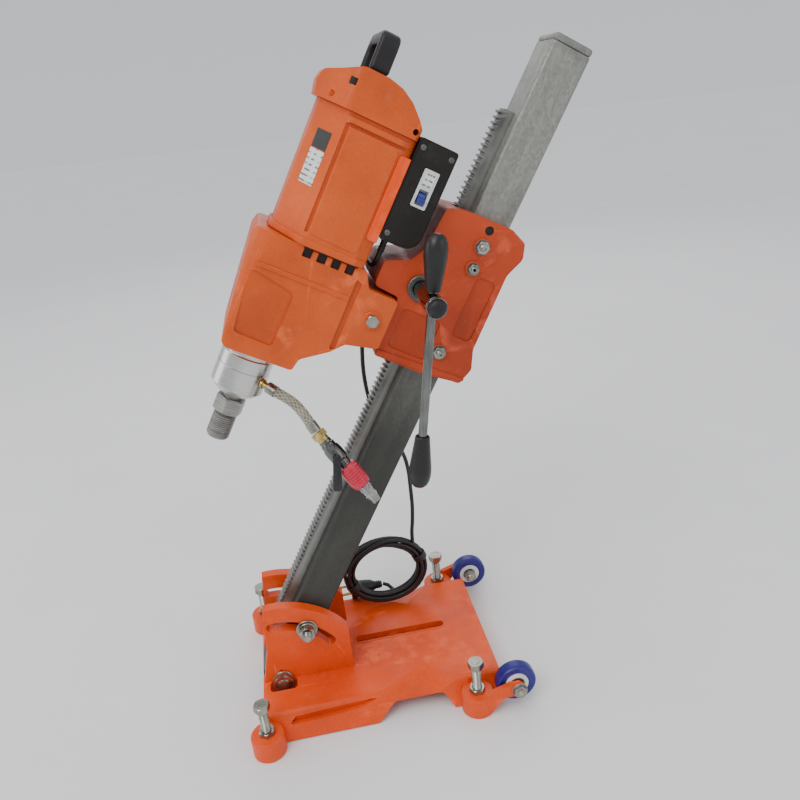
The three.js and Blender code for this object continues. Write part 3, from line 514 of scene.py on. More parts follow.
def piece(name, mesh, body, material, edge=0.0, replaces=None, steps=3, angle=32):
    """Turns a millimetre mesh into an object of the scene that rides on a body.

    The body tells the frame.
    """
    where = BASE if body.startswith(("base", "wheel", "screw")) else COLUMN
    bmesh.ops.remove_doubles(mesh, verts=mesh.verts, dist=0.001)
    bmesh.ops.recalc_face_normals(mesh, faces=mesh.faces)
    data = baked(name, mesh)
    data.transform(where @ SCALE)
    data.materials.append(material)
    data.shade_smooth()
    thing = in_scene(name, data)
    if edge:
        bevel = thing.modifiers.new("edge", "BEVEL")
        bevel.width = edge * MM
        bevel.segments = steps
        bevel.limit_method = "ANGLE"
        bevel.angle_limit = math.radians(angle)
        bevel.miter_outer = "MITER_ARC"
    shading = thing.modifiers.new("shading", "WEIGHTED_NORMAL")
    shading.keep_sharp = True
    if not edge:
        sharpen(data, 38)
    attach(thing, body)
    if replaces:
        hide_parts(replaces)
    # a material's name gets a number behind it where the CAD's own materials already have that name
    return thing


def sharpen(data, degrees):
    mesh = bmesh.new()
    mesh.from_mesh(data)
    limit = math.radians(degrees)
    for line in mesh.edges:
        if len(line.link_faces) == 2 and line.calc_face_angle(0) > limit:
            line.smooth = False
    mesh.to_mesh(data)
    mesh.free()


def curve(name, points, radius, body, material, replaces):
    """A round cord along points of the scene, as one spline."""
    data = bpy.data.curves.new(name, "CURVE")
    data.dimensions = "3D"
    data.bevel_depth = radius * MM
    data.bevel_resolution = 5
    data.use_fill_caps = True
    spline = data.splines.new("POLY")
    spline.points.add(len(points) - 1)
    for spot, point in zip(spline.points, points):
        spot.co = (*point, 1)
    data.materials.append(material)
    thing = in_scene(name, data)
    if body:
        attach(thing, body)
    else:
        thing = meshed(thing)
    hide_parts(*replaces)
    return thing


def meshed(thing):
    """The curve as a mesh, riding on no body."""
    bpy.context.view_layer.update()
    data = bpy.data.meshes.new_from_object(thing.evaluated_get(bpy.context.evaluated_depsgraph_get()))
    name = thing.name
    bpy.data.objects.remove(thing)
    for face in data.polygons:
        face.use_smooth = True
    return in_scene(name, data)


def through(points, spacing):
    """A smooth curve through the points, sampled at about the given spacing."""
    points = [Vector(p) for p in points]
    padded = [2 * points[0] - points[1], *points, 2 * points[-1] - points[-2]]
    out = [points[0].copy()]
    for i in range(1, len(padded) - 2):
        p0, p1, p2, p3 = padded[i - 1:i + 3]
        t0, t1 = 0.0, max((p1 - p0).length, 1e-9) ** 0.5
        t2 = t1 + max((p2 - p1).length, 1e-9) ** 0.5
        t3 = t2 + max((p3 - p2).length, 1e-9) ** 0.5
        count = max(1, round((p2 - p1).length / spacing))
        for k in range(1, count + 1):
            t = t1 + (t2 - t1) * k / count
            a1 = (t1 - t) / (t1 - t0) * p0 + (t - t0) / (t1 - t0) * p1
            a2 = (t2 - t) / (t2 - t1) * p1 + (t - t1) / (t2 - t1) * p2
            a3 = (t3 - t) / (t3 - t2) * p2 + (t - t2) / (t3 - t2) * p3
            b1 = (t2 - t) / (t2 - t0) * a1 + (t - t0) / (t2 - t0) * a2
            b2 = (t3 - t) / (t3 - t1) * a2 + (t - t1) / (t3 - t1) * a3
            out.append((t2 - t) / (t2 - t1) * b1 + (t - t1) / (t2 - t1) * b2)
    return out


def paint_node(node, material):
    """Gives a CAD node that is shown as it is its finished material."""
    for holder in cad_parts[node].material_slots:
        holder.material = material


# ------------------------------------------------------------------ cords
HOSE_ROUTE = [(-160.6, -25.2, 374.4), (-153.5, -30.8, 374.3), (-141.3, -35, 373.2), (-129.8, -37.5, 371),
              (-119.9, -41, 367), (-110.6, -44, 361.6), (-101.5, -47.5, 355.6), (-94, -50.5, 351)]
UPPER_LEAD = [(-105, -36, 565.5), (-105, -35.8, 560), (-105, -28, 551), (-105, 0, 548.5), (-105, 28, 547.5),
              (-104.5, 48, 545), (-101, 60, 534), (-92, 66, 512), (-76, 68, 480), (-58, 69, 440),
              (-38, 70, 400), (-12, 71, 364), (22, 72, 336)]
LOWER_LEAD = [
    (185.5, 72.2, 321.3), (198, 73, 300), (207, 74, 276), (210.5, 75, 252), (211, 75, 225), (211, 75, 197),
    (209, 75, 172), (206.5, 75, 152),
]
TAP_AXIS = Vector((24, -8, -12)).normalized()
TAP_START = Vector(HOSE_ROUTE[-1])
CORD_RADIUS = 2.75
# two points of the line that the tap's turned pieces sit on
TAP = (TAP_START, TAP_START + TAP_AXIS)
COIL = {"x": 162, "y": 75, "z": 97, "radius": 47, "stretch": 1.15, "strand": 5.75, "turns": 7, "start": 52}


def along_tap(distance):
    return TAP_START + TAP_AXIS * distance


def coil_route():
    """The lead's turns: one in the middle of the bundle and six laid round it, then the tail to the plug."""
    slots = [(0.0, 0.0)] + [(COIL["strand"] * math.cos(math.radians(60 * k + 90)),
                             COIL["strand"] * math.sin(math.radians(60 * k + 90))) for k in range(6)]
    points = []
    steps = 40
    total = COIL["turns"] * steps + round(steps * 105 / 360)
    for i in range(2, total + 1):
        share = i / steps
        lap = min(int(share), COIL["turns"] - 1)
        blend = max(0.0, min(1.0, (share - lap - 0.78) / 0.22))
        blend = blend * blend * (3 - 2 * blend)
        here, there = slots[lap], slots[min(lap + 1, COIL["turns"] - 1)]
        dr = here[0] + (there[0] - here[0]) * blend
        dy = here[1] + (there[1] - here[1]) * blend
        a = math.radians(COIL["start"] - 360 * share)
        radius = COIL["radius"] + dr + 0.35 * math.sin(3 * a + lap)
        points.append((COIL["x"] + COIL["stretch"] * radius * math.cos(a), COIL["y"] + dy,
                       COIL["z"] + radius * math.sin(a)))
    return points


def make_cords():
    hose_points = [at(COLUMN, *p) for p in through(HOSE_ROUTE, 4)]
    hose = curve("water_hose_wall", hose_points, 6, "carriage", HOSE_WALL, ("water_hose",))
    upper_points = [at(COLUMN, *p) for p in through(UPPER_LEAD, 8)]
    upper = curve("power_lead_upper", upper_points, CORD_RADIUS, None, CORD_RUBBER, ("power_cord_upper",))
    tail = [(172, 92, 46.5), (165, 99, 51.5), (157.5, 101, 54.2)]
    lower_points = [at(BASE, *p) for p in through(LOWER_LEAD + coil_route() + tail, 7)]
    lower = curve("power_lead_lower", lower_points, CORD_RADIUS, None, CORD_RUBBER,
                  ("power_cord_lower", "cord_coil"))
    return hose, hose_points, upper, upper_points, lower, lower_points


hose, hose_points, upper_lead, upper_points, lower_lead, lower_points = make_cords()


# ------------------------------------------------------------------ floor and light
def make_stage():
    floor = bmesh.new()
    bmesh.ops.create_grid(floor, x_segments=4, y_segments=4, size=12.0)
    data = baked("floor", floor)
    thing = in_scene("floor", data)
    thing.location.z = -0.0005
    s = Shader("studio_floor", Roughness=0.75)
    color = s.ramp(s.noise(3, 3), (0.3, (0.78, 0.78, 0.78)), (0.7, (0.81, 0.81, 0.81)))
    data.materials.append(s.feed(Base_Color=color))
    lights = [
        ("key", (-1.3, -1.5, 2.3), 26, 1.4),
        ("fill", (1.9, -1.4, 1.3), 9, 1.8),
        ("back", (0.4, 2.1, 1.9), 13, 1.6),
        ("left", (-2.2, 0.5, 1.0), 8, 1.2),
    ]
    aim = Vector((0, 0, 0.4))
    for name, place, power, size in lights:
        lamp = bpy.data.lights.new(name, "AREA")
        lamp.energy = power
        lamp.size = size
        holder = in_scene(name, lamp)
        holder.location = place
        holder.rotation_euler = (aim - Vector(place)).to_track_quat("-Z", "Y").to_euler()
    sky = bpy.data.lights.new("overhead", "SUN")
    sky.energy = 0.95
    sky.angle = math.radians(55)
    in_scene("overhead", sky).rotation_euler = (math.radians(16), math.radians(-14), 0)
    world = bpy.data.worlds.new("studio")
    world.use_nodes = True
    nodes, link = world.node_tree.nodes, world.node_tree.links.new
    background = nodes["Background"]
    background.inputs["Color"].default_value = (0.93, 0.95, 1.0, 1)
    height = nodes.new("ShaderNodeSeparateXYZ")
    link(nodes.new("ShaderNodeTexCoord").outputs["Generated"], height.inputs[0])
    glow = nodes.new("ShaderNodeMapRange")
    for key, value in (("From Min", 0.02), ("From Max", 0.3), ("To Min", 0.77), ("To Max", 0.71)):
        glow.inputs[key].default_value = value
    link(height.outputs["Z"], glow.inputs["Value"])
    link(glow.outputs[0], background.inputs["Strength"])
    bpy.context.scene.world = world


make_stage()


# ------------------------------------------------------------------ base
CHEEK_IN, CHEEK_OUT = 30.5, 44


def make_coil_ties():
    """Two rubber bands that hold the coil's turns together."""
    bands = []
    for degrees in (18, 205):
        a = math.radians(degrees)
        spot = Vector((COIL["x"] + COIL["stretch"] * COIL["radius"] * math.cos(a), COIL["y"],
                       COIL["z"] + COIL["radius"] * math.sin(a)))
        run = Vector((-COIL["stretch"] * math.sin(a), 0, math.cos(a))).normalized()
        band = lathe([(8.9, -5), (10, -5), (10.4, -4.4), (10.4, 4.4), (10, 5), (8.9, 5)], segments=40)
        bands.append(placed(band, spot, spot + run))
    return piece("coil_ties", merged(*bands), "base", CORD_RUBBER)


def arch_fan(side):
    """The wedge that leaves a fan of three facets between the plate's top and the side arch."""
    corners = [
        (186, 64, 38), (118, 102, 38), (226, 102, 38), (141, 106.2, 26), (200, 106.2, 26),
        (186, 64, 46), (118, 118, 46), (226, 118, 46), (141, 118, 26), (200, 118, 26),
    ]
    mesh = bmesh.new()
    verts = [mesh.verts.new((x, side * y, z)) for x, y, z in corners]
    bmesh.ops.convex_hull(mesh, input=verts)
    bmesh.ops.recalc_face_normals(mesh, faces=mesh.faces)
    return mesh


def make_base():
    section = rounded([(-115, 0.5), (115, 0.5), (102, 38), (-102, 38)], [2, 2, 7, 7], 5)
    plate = prism(section, -27, 280, "X")
    hollow = prism([(-106, -1), (106, -1), (93, 29), (-93, 29)], 110, 270, "X")
    arch = prism(rounded([(112, -2), (139, 24), (203, 24), (218, -2)], [0, 12, 12, 0], 6), -150, 150)
    cheek_outline = [(-27, 30), (94.5, 30)] + arc(0, PIVOT_HEIGHT, 112, 32.5, 95.4, 28) + [(-14.5, 87)]
    slot = arc(0, PIVOT_HEIGHT, 90.6, 92, 34, 24) + arc(0, PIVOT_HEIGHT, 77.4, 34, 92, 24)
    casting = join(plate, prism(cheek_outline, -CHEEK_OUT, -CHEEK_IN),
                   prism(cheek_outline, CHEEK_IN, CHEEK_OUT))
    slot_ends = [arc(0, PIVOT_HEIGHT, CLAMP_REACH, degrees, degrees, 1)[0] for degrees in CLAMP_ENDS]
    lugs, holes = [], []
    for x in LUG_X.values():
        for y in LUG_Y.values():
            lugs.append(lathe([(0, 0), (20, 0), (21, 1), (21, 26), (19.5, 28), (0, 28)], "Z", (x, y, 0), 48))
            holes.append(rod(6.6, -2, 45, "Z", (x, y, 0), 0.1, 32))
            holes.append(rod(17.5, 28, 45, "Z", (x, y, 0), 0.1, 48))
    arm = rounded([(236, 6), (259, 8), (275, 24), (297, 26), (305, 34), (297, 42), (283, 42), (236, 27)],
                  [0, 4, 10, 5, 6, 5, 8, 0], 6)
    arms = [prism(arm, side * 135 - 4, side * 135 + 4) for side in SIDES]
    casting = join(casting, *lugs, *arms)
    cutters = [
        hollow,
        arch,
        block((-28, 61), (-CHEEK_IN, CHEEK_IN), (-2, 40)),
        prism(rounded(panel((102, 229), (1, 13)), 5.9, 6), -2, 40, "Z"),
        prism(slot, -60, 60),
        *[rod(6.6, -60, 60, "Y", (x, 0, z)) for x, z in slot_ends],
        rod(8.4, -60, 60, "Y", PIVOT_AXIS),
        rod(5.4, -150, 150, "Y", WHEEL),
        *holes,
    ]
    pocket = rounded([(2, 20.5), (70, 23), (99, 26), (119, 33), (106, 33.6), (12, 31)],
                     [4, 8, 8, 1.5, 6, 5], 5)
    for side in SIDES:
        cutters.append(rod(18, *span(side, CHEEK_OUT, 63), "Y", PIVOT_AXIS, 3))
        cutters.append(prism(pocket, *span(side, 100, 125)))
        cutters.append(arch_fan(side))
    casting = cut(casting, *cutters)
    piece("base_casting", casting, "base", ORANGE_BASE, 1.8, "base_plate", angle=28)
    lip = cut(prism(rounded(panel((99, 232), (-2, 16)), 8.5, 8), 37.9, 38.6, "Z"),
              prism(rounded(panel((102, 229), (1, 13)), 5.9, 8), 30, 45, "Z"))
    piece("slot_lip", lip, "base", ORANGE_BASE, 0.3)


def make_wheels():
    for side, sign in (("near", -1), ("far", 1)):
        def across(profile):
            return [(r, sign * y) for r, y in profile]
        tyre = across([(15.4, 113.5), (19, 112.6), (24, 112.2), (25.6, 114), (26, 117), (26, 124),
                       (25.6, 127), (24, 128.8), (19, 128.4), (15.4, 127.6)])
        piece(f"tyre_{side}", lathe(tyre, "Y", WHEEL, 72), f"wheel_{side}", BLUE_TYRE, 0,
              f"wheel_tyre_{side}")
        ring = across([(9.5, 112), (15.1, 112.2), (15.1, 129), (14.4, 130.2), (12, 130.6), (10, 129.6),
                       (9.5, 128)])
        piece(f"hub_ring_{side}", lathe(ring, "Y", WHEEL, 64), f"wheel_{side}", WHITE_RING, 0,
              f"wheel_hub_{side}")
        bearing = across([(5.3, 112.5), (9.3, 112.5), (9.3, 128.6), (8.2, 129.1), (7.4, 128.4), (5.3, 128.4)])
        piece(f"hub_bearing_{side}", lathe(bearing, "Y", WHEEL, 48), f"wheel_{side}", DARK_STEEL)
        head = hexagon(16, *span(sign, 139.3, 145), "Y", WHEEL, 18)
        nut = hexagon(16, *span(sign, 103, 110.5), "Y", WHEEL, 40)
        shank = thread(5, *span(sign, 100, 147), 1.5, "Y", WHEEL)
        washer = rod(10, *span(sign, 139.1, 140.2), "Y", WHEEL)
        piece(f"axle_{side}", merged(head, nut, shank, washer), "base", ZINC, 0, f"wheel_axle_{side}")


def make_screws():
    for end, x in LUG_X.items():
        for side, y in LUG_Y.items():
            twist = 12 if end == "front" else 41
            head = hexagon(18, 66.5, 75.5, "Z", (x, y, 0), twist + (20 if side == "far" else 0))
            collar = rod(8.4, 64.9, 66.6, "Z", (x, y, 0), 0.4)
            shank = thread(5.9, 2, 65.5, 1.75, "Z", (x, y, 0))
            crown = rod(5.2, 75.3, 76, "Z", (x, y, 0), 0.3)
            piece(f"level_screw_{end}_{side}", merged(head, collar, shank, crown), f"screw_{end}_{side}",
                  ZINC, 0, f"levelling_screw_{end}_{side}")
            nut = cut(hexagon(18, 28.2, 34.6, "Z", (x, y, 0), twist + 17),
                      rod(6.3, 20, 45, "Z", (x, y, 0), 0.1))
            piece(f"jam_nut_{end}_{side}", nut, "base", ZINC, 0.25)


def make_pivot_and_clamp():
    head = hexagon(24, -55.5, -47, "Y", PIVOT_AXIS, 12)
    washer = rod(13.4, -47.2, -44.4, "Y", PIVOT_AXIS, 0.4)
    shank = thread(7.9, -57, 62, 2.0, "Y", PIVOT_AXIS, 32)
    piece("pivot_screw", merged(head, washer, shank), "base", ZINC, 0, "pivot_bolt")
    far = join(hexagon(24, 46.8, 56.4, "Y", PIVOT_AXIS, 4), rod(13.4, 44.4, 47, "Y", PIVOT_AXIS, 0.4))
    piece("pivot_lock_nut", cut(far, rod(8.1, 40, 60, "Y", PIVOT_AXIS, 0.1)), "base", ZINC, 0.3, "pivot_nut")
    bolt = merged(thread(5.9, -65, 46, 1.75, "Y", CLAMP_AXIS), hexagon(19, 47.3, 55.3, "Y", CLAMP_AXIS, 22),
                  rod(13, 44.4, 47.4, "Y", CLAMP_AXIS, 0.5))
    piece("clamp_screw", bolt, "column", ZINC, 0, "clamp_bolt")
    washer = cut(rod(14, -47, -44.4, "Y", CLAMP_AXIS, 0.5), rod(6.3, -50, -40, "Y", CLAMP_AXIS, 0.1))
    piece("clamp_plate_washer", washer, "column", ZINC, 0.2, "clamp_washer")
    nut = join(hexagon(19, -57.8, -49, "Y", CLAMP_AXIS, 8), rod(11.5, -49.4, -47.3, "Y", CLAMP_AXIS, 0.6))
    nut = cut(nut, rod(6.1, -60, -40, "Y", CLAMP_AXIS, 0.1))
    piece("clamp_flange_nut", nut, "column", ZINC, 0.25, "clamp_nut")


def make_plug():
    """Moulded two-pin plug lying on the plate."""
    body = lathe([(0, 108), (14.5, 108.2), (16, 109.6), (16, 114), (14.5, 116.4), (11.4, 119), (10.6, 130),
                  (9.6, 139), (7, 143), (5.6, 146), (5.2, 155), (3.2, 156), (0, 156)], "X", PLUG, 48)
    ribs = [lathe([(5.2, h), (6.3, h + 0.6), (6.3, h + 1.4), (5.2, h + 2)], "X", PLUG, 32)
            for h in (144.5, 147.5, 150.5)]
    shell = piece("plug_body", merged(body, *ribs), "base", CORD_RUBBER, 0, "power_plug")
    pins = [lathe([(0, 90), (1.6, 90.2), (2.4, 91.5), (2.4, 108.5), (0, 108.5)], "X",
                  (0, PLUG[1] + d, PLUG[2]), 24) for d in (-9.5, 9.5)]
    return [shell, piece("plug_pins", merged(*pins), "base", BRASS)]


make_base()
make_wheels()
make_screws()
make_pivot_and_clamp()
plug_pieces = make_plug() + [make_coil_ties()]


# ------------------------------------------------------------------ column and rack
def make_column():
    outer = prism(rounded(panel((-23, 23), (-27.5, 27.5)), 4.5, 8), -22, 836, "Z")
    inner = prism(rounded(panel((-19, 19), (-23.5, 23.5)), 1.5, 3), -23, 837, "Z")
    toe = prism([(-26, -30), (-26, -7.9), (-13.4, -30)], -40, 40)
    piece("column_profile", cut(outer, inner, toe), "column", GALVANISED, 0.3, "column_tube")
    lid = prism(rounded(panel((-23, 23), (-27.5, 27.5)), 5, 8), 836.2, 844.6, "Z")
    piece("column_lid", lid, "column", GALVANISED, 3.4, "column_cap", steps=5)


def make_rack():
    pitch = math.pi * 2
    root, face = -34.9, -23.3
    low, high = 62, 757
    pinion_height = PINION[2]
    points = [(face, low), (root, low)]
    first = math.ceil((low - pinion_height) / pitch) + 1
    last = math.floor((high - pinion_height) / pitch) - 1
    for tooth in range(first, last + 1):
        middle = pinion_height + (tooth + 0.5) * pitch
        for share, reach in ((-0.34, 0), (-0.16, 3.4), (-0.1, 3.8), (0.1, 3.8), (0.16, 3.4), (0.34, 0)):
            points.append((root - reach, middle + share * pitch))
    points += [(root, high), (face, high)]
    piece("rack_bar", prism(points, -10, 10), "column", RACK_STEEL, 0, "gear_rack")


make_column()
make_rack()


# ------------------------------------------------------------------ carriage
def make_carriage():
    outline = [
        (-67, 459), (-4, 458), (42, 463), (48, 483), (39, 506), (38, 560), (37, 598), (46, 621), (40, 638),
        (20, 646), (-28, 645), (-58, 640), (-62, 590), (-72, 573), (-98, 562), (-98, 533), (-67, 530),
    ]
    radii = [4, 30, 6, 8, 14, 20, 20, 10, 6, 8, 14, 8, 12, 10, 6, 6, 5]
    side = prism(rounded(outline, radii, 6), -45, 45)
    plan = prism(rounded(panel((-110, 60), (-45, 45)), 8, 6), 440, 660, "Z")
    body = meet(side, plan)
    empty_hole = (-4, 635, 5)
    gib_holes = [(-4, 616, 4.6), (-3, 590.5, 4.2), (2, 489, 4.6)]
    cutters = [
        block((-26, 26), (-30.5, 30.5), (400, 700)),
        block((-41, 0), (-13, 13), (400, 700)),
        rod(16.5, -14, 14, "Y", PINION, 0.2),
        rod(13.3, -60, 60, "Y", PINION, 0.2),
    ]
    cutters += [rod(r, -60, -30, "Y", (x, 0, z), 0.2, 32) for x, z, r in (empty_hole, *gib_holes)]
    # shallow panels between the flanges, near and far
    for low, high in ((-47, -43.6), (43.6, 47)):
        cutters.append(prism(rounded([(-58, 474), (-8, 473), (-10, 522), (-58, 522)], 7, 5), low, high))
        cutters.append(prism(rounded([(6, 512), (31, 512), (30, 585), (6, 585)], 7, 5), low, high))
    body = cut(body, *cutters)
    bosses = [cut(rod(9.5, -47.2, -44.8, "Y", (x, 0, z), 0.8), rod(r, -60, 60, "Y", (x, 0, z), 0.1))
              for x, z, r in gib_holes]
    low_rim = prism(rounded([(-66, 459.5), (40, 462.5), (46, 470), (-66, 467)], [2, 4, 2, 2], 4), -46.6,
                    -44.9)
    piece("carriage_body", body, "carriage", ORANGE_CARRIAGE, 1.5, "carriage_casting", angle=28)
    piece("carriage_pads", merged(*bosses, low_rim), "carriage", ORANGE_CARRIAGE, 0.5)
    piece("screw_hole_shadow", rod(4.9, -44, -34, "Y", (empty_hole[0], 0, empty_hole[1]), 0.1, 32),
          "carriage", DARK_HOLE)
    adjusters = [("high", -3.9, -4, 616, 57, 13), ("mid", -3, -3, 590.5, 53, 11), ("low", 2, 2, 489, 56, 13)]
    for name, x, nut_x, z, reach, size in adjusters:
        nut = hexagon(size, -51, -47.3, "Y", (nut_x, 0, z), 14)
        washer = cut(rod(size * 0.68, -47.25, -46.3, "Y", (x, 0, z), 0.3, 32),
                     rod(4.2, -50, -40, "Y", (x, 0, z), 0.1))
        piece(f"gib_washer_{name}", washer, "carriage", DARK_STEEL)
        shank = thread(3.9, -reach, -33, 1.25, "Y", (x, 0, z), 24)
        socket = rod(2.0, -reach - 0.05, -reach + 2, "Y", (x, 0, z), 0.05, 6)
        piece(f"gib_adjuster_{name}", merged(nut, cut(shank, socket)), "carriage", ZINC, 0,
              f"gib_screw_{name}")
    bush = [(9.4, -17), (13, -17), (13, -45.3), (15, -45.3), (15.2, -46), (15.2, -48.8), (14.4, -49.5),
            (10.4, -49.5), (9.4, -48.8)]
    piece("pinion_bush_ring", lathe(bush, "Y", PINION, 56), "carriage", DARK_STEEL, 0, "pinion_bush_near")
    bush = [(9.4, 17), (13, 17), (13, 44.4), (12.4, 45), (10, 45), (9.4, 44.4)]
    piece("pinion_bush_rear", lathe(bush, "Y", PINION, 56), "carriage", DARK_STEEL, 0, "pinion_bush_far")


def make_feed():
    lean = -21
    centre = (PINION[0], -107, PINION[2])
    shaft = lathe([(0, 44), (8.2, 44), (9, 43.2), (9, 13), (9, -93), (9.4, -95), (10.2, -96), (11, -97),
                   (11, -126.8), (10.2, -128), (0, -128)], "Y", PINION, 64)
    hole = turn(rod(5.3, -40, 40, "Z", centre, 0.1, 40), lean, "Y", centre)
    piece("feed_spindle", cut(shaft, hole), "feed", CHROME, 0.25, "feed_shaft")
    tooth = [(-0.32, 9.8), (-0.2, 12.2), (-0.1, 13.4), (0.1, 13.4), (0.2, 12.2), (0.32, 9.8)]
    teeth = []
    for k in range(12):
        for share, radius in tooth:
            a = math.pi + (k + share) * math.pi / 6
            teeth.append((PINION[0] + radius * math.cos(a), PINION[2] + radius * math.sin(a)))
    piece("feed_pinion", prism(teeth, -12, 12), "feed", RACK_STEEL, 0.2)
    cap = [(0, -137.6), (4.6, -137.3), (7.6, -136.2), (9.3, -134), (9.9, -131), (9.9, -128.3), (0, -128.3)]
    piece("hub_knob", lathe(cap, "Y", PINION, 64), "feed", BLACK_PLASTIC, 0, "feed_hub_cap")
    rim = [(9.7, -128.4), (10.8, -128.4), (11.3, -129.6), (11, -131), (10.3, -131.4), (9.7, -130.8)]
    piece("hub_rim", lathe(rim, "Y", PINION, 64), "feed", CHROME)

    def on_bar(mesh):
        return turn(shift(mesh, *centre), lean, "Y", centre)

    piece("cross_bar", on_bar(rod(5, -205, 63, chamfer=0.8)), "feed_bar", CHROME, 0, "feed_bar")
    grip_length = 61.5
    grip = [(5.4, 0), (7.4, 0), (8.2, 0.8), (8.5, 3), (9.1, 9), (10.2, 18), (11.3, 27), (12.3, 36),
            (12.7, 42), (12.5, 47), (11.6, 52), (9.8, 56.6), (7, 59.8), (4, 61.1), (0, grip_length),
            (0, 54), (5.4, 54)]
    for name, start, length, sign in (("upper", 12, 59, 1), ("lower", -151, 63, -1)):
        profile = [(r, start + sign * h * length / grip_length) for r, h in grip]
        mesh = lathe(profile, segments=64)
        piece(f"bar_grip_{name}", on_bar(mesh), "feed_bar", GRIP_PLASTIC, 0, f"feed_grip_{name}")


make_carriage()
make_feed()


# ------------------------------------------------------------------ drill motor
def make_gearbox():
    outline = [(-230, 412), (-148, 412), (-145, 427), (-117, 447), (-104, 461), (-67.7, 469), (-67.7, 527),
               (-104, 528), (-113, 545.7), (-236, 545.7), (-239.5, 536)]
    radii = [10, 5, 8, 10, 6, 5, 5, 6, 5, 4, 6]
    side = prism(rounded(outline, radii, 6), -55, 55)
    plan = prism(rounded(panel((-240, -60), (-55, 55)), [27, 9, 9, 27], 10), 400, 560, "Z")
    body = meet(side, plan)
    cutters = [
        prism(rounded(panel((-226, -118), (-50, 50)), 20, 6), 424, 534, "Z"),
        rod(17, 400, 440, "Z", SPINDLE, 0.2),
        rod(20, 500, 560, "Z", MOTOR, 0.2),
        rod(4.4, -70, 70, "Y", ARM_SCREW, 0.1, 32),
    ]
    pocket = rounded([(-222, 432), (-178, 430), (-176, 494), (-229, 504)], [6, 6, 9, 8], 5)
    parting = rounded([(-119, 449), (-113, 453), (-113, 530), (-120, 534)], 2.4, 4)
    vent_places = [-179 + 16 * k for k in range(4)]
    for sign in SIDES:
        cutters.append(prism(pocket, *span(sign, 52.3, 60)))
        vents = span(sign, 50.5, 58)
        for x in vent_places:
            cutters.append(prism(rounded(panel((x - 5, x + 5), (534.5, 548)), [1.5, 1.5, 0, 0], 3), *vents))
        cutters.append(block((-185, -124), vents, (543.6, 548)))
        # the relief that parts the gearcase from its mounting arm
        cutters.append(prism(parting, *span(sign, 52.6, 60)))
    body = cut(body, *cutters)
    piece("gearcase", body, "carriage", ORANGE_MOTOR, 1.6, "gearbox_housing", angle=28)
    details = []
    for sign in SIDES:
        details.append(prism(rounded(panel((-224, -120), (508, 513)), 2, 3), *span(sign, 54.9, 56.4)))
        details.append(cut(rod(11, *span(sign, 54.8, 57), "Y", ARM_SCREW, 1.0),
                           rod(4.5, -70, 70, "Y", ARM_SCREW, 0.1)))
    piece("gearcase_ribs", merged(*details), "carriage", ORANGE_MOTOR, 0.6)
    shadows = [block((x - 5, x + 5), (sign * 50.7 - 0.3, sign * 50.7 + 0.3), (534.3, 545.6))
               for x in vent_places for sign in SIDES]
    piece("vent_shadow", merged(*shadows), "carriage", DARK_HOLE)
    shank = thread(4, -60, 60, 1.25, "Y", ARM_SCREW, 24)
    heads = [hexagon(13, low, high, "Y", ARM_SCREW, 20) for low, high in ((-61, -57.2), (57.2, 61))]
    piece("arm_screw", merged(shank, *heads), "carriage", ZINC, 0, "mount_screw")


def make_motor():
    plan = rounded([(-222, -24), (-191, -58), (-186, -60), (-131, -60), (-117.5, -54),
                    (-117.5, 54), (-131, 60), (-186, 60), (-191, 58), (-222, 24)],
                   [16, 8, 5, 6, 5, 5, 6, 5, 8, 16], 7)
    body = prism(plan, 546, 686, "Z")
    cutters = [rod(37.1, 562, 690, "Z", MOTOR, 0.2), rod(17, 540, 570, "Z", MOTOR, 0.2)]
    # a groove down the front of each side panel, and a double groove under the cap
    groove = rounded([(-191.5, 560), (-187.5, 560), (-187.5, 674), (-191.5, 676)], 1.4, 3)
    for sign in SIDES:
        cutters.append(prism(groove, *span(sign, 55.5, 64)))
        cutters.append(block((-189, -117), span(sign, 56, 64), (672.4, 676.2)))
        cutters.append(block((-200, -116), span(sign, 56.4, 64), (681.6, 687)))
    body = cut(body, *cutters)
    piece("motor_can", body, "carriage", ORANGE_MOTOR, 1.4, "motor_housing", angle=28)
    outline = rounded([(-186.5, 560), (-132, 558), (-132, 672), (-186.5, 672)], 7, 6)
    raised = [prism(outline, *span(sign, 59.6, 61.4)) for sign in SIDES]
    piece("side_panels", merged(*raised), "carriage", ORANGE_MOTOR, 1.5, steps=4)
    # the rear strips take the lighter copy of the motor's paint, a painted highlight
    outline = rounded(panel((-129.5, -117.6), (577, 668)), [4, 1, 1, 4], 5)
    strips = [prism(outline, *span(sign, 50, 62)) for sign in SIDES]
    piece("rear_strips", merged(*strips), "carriage", ORANGE_MOTOR_LIT, 1.6, steps=4)
    collar = prism(rounded([(-225, -24), (-192, -61), (-130, -61.5), (-118, -56), (-118, 56), (-130, 61.5),
                            (-192, 61), (-225, 24)], [16, 10, 6, 5, 5, 6, 10, 16], 7), 546.2, 554, "Z")
    ring = cut(collar, prism(rounded([(-215, -22), (-188, -54), (-122, -54), (-122, 54), (-188, 54),
                                      (-215, 22)], 8, 5), 540, 560, "Z"))
    piece("can_foot", ring, "carriage", ORANGE_MOTOR, 1.4)


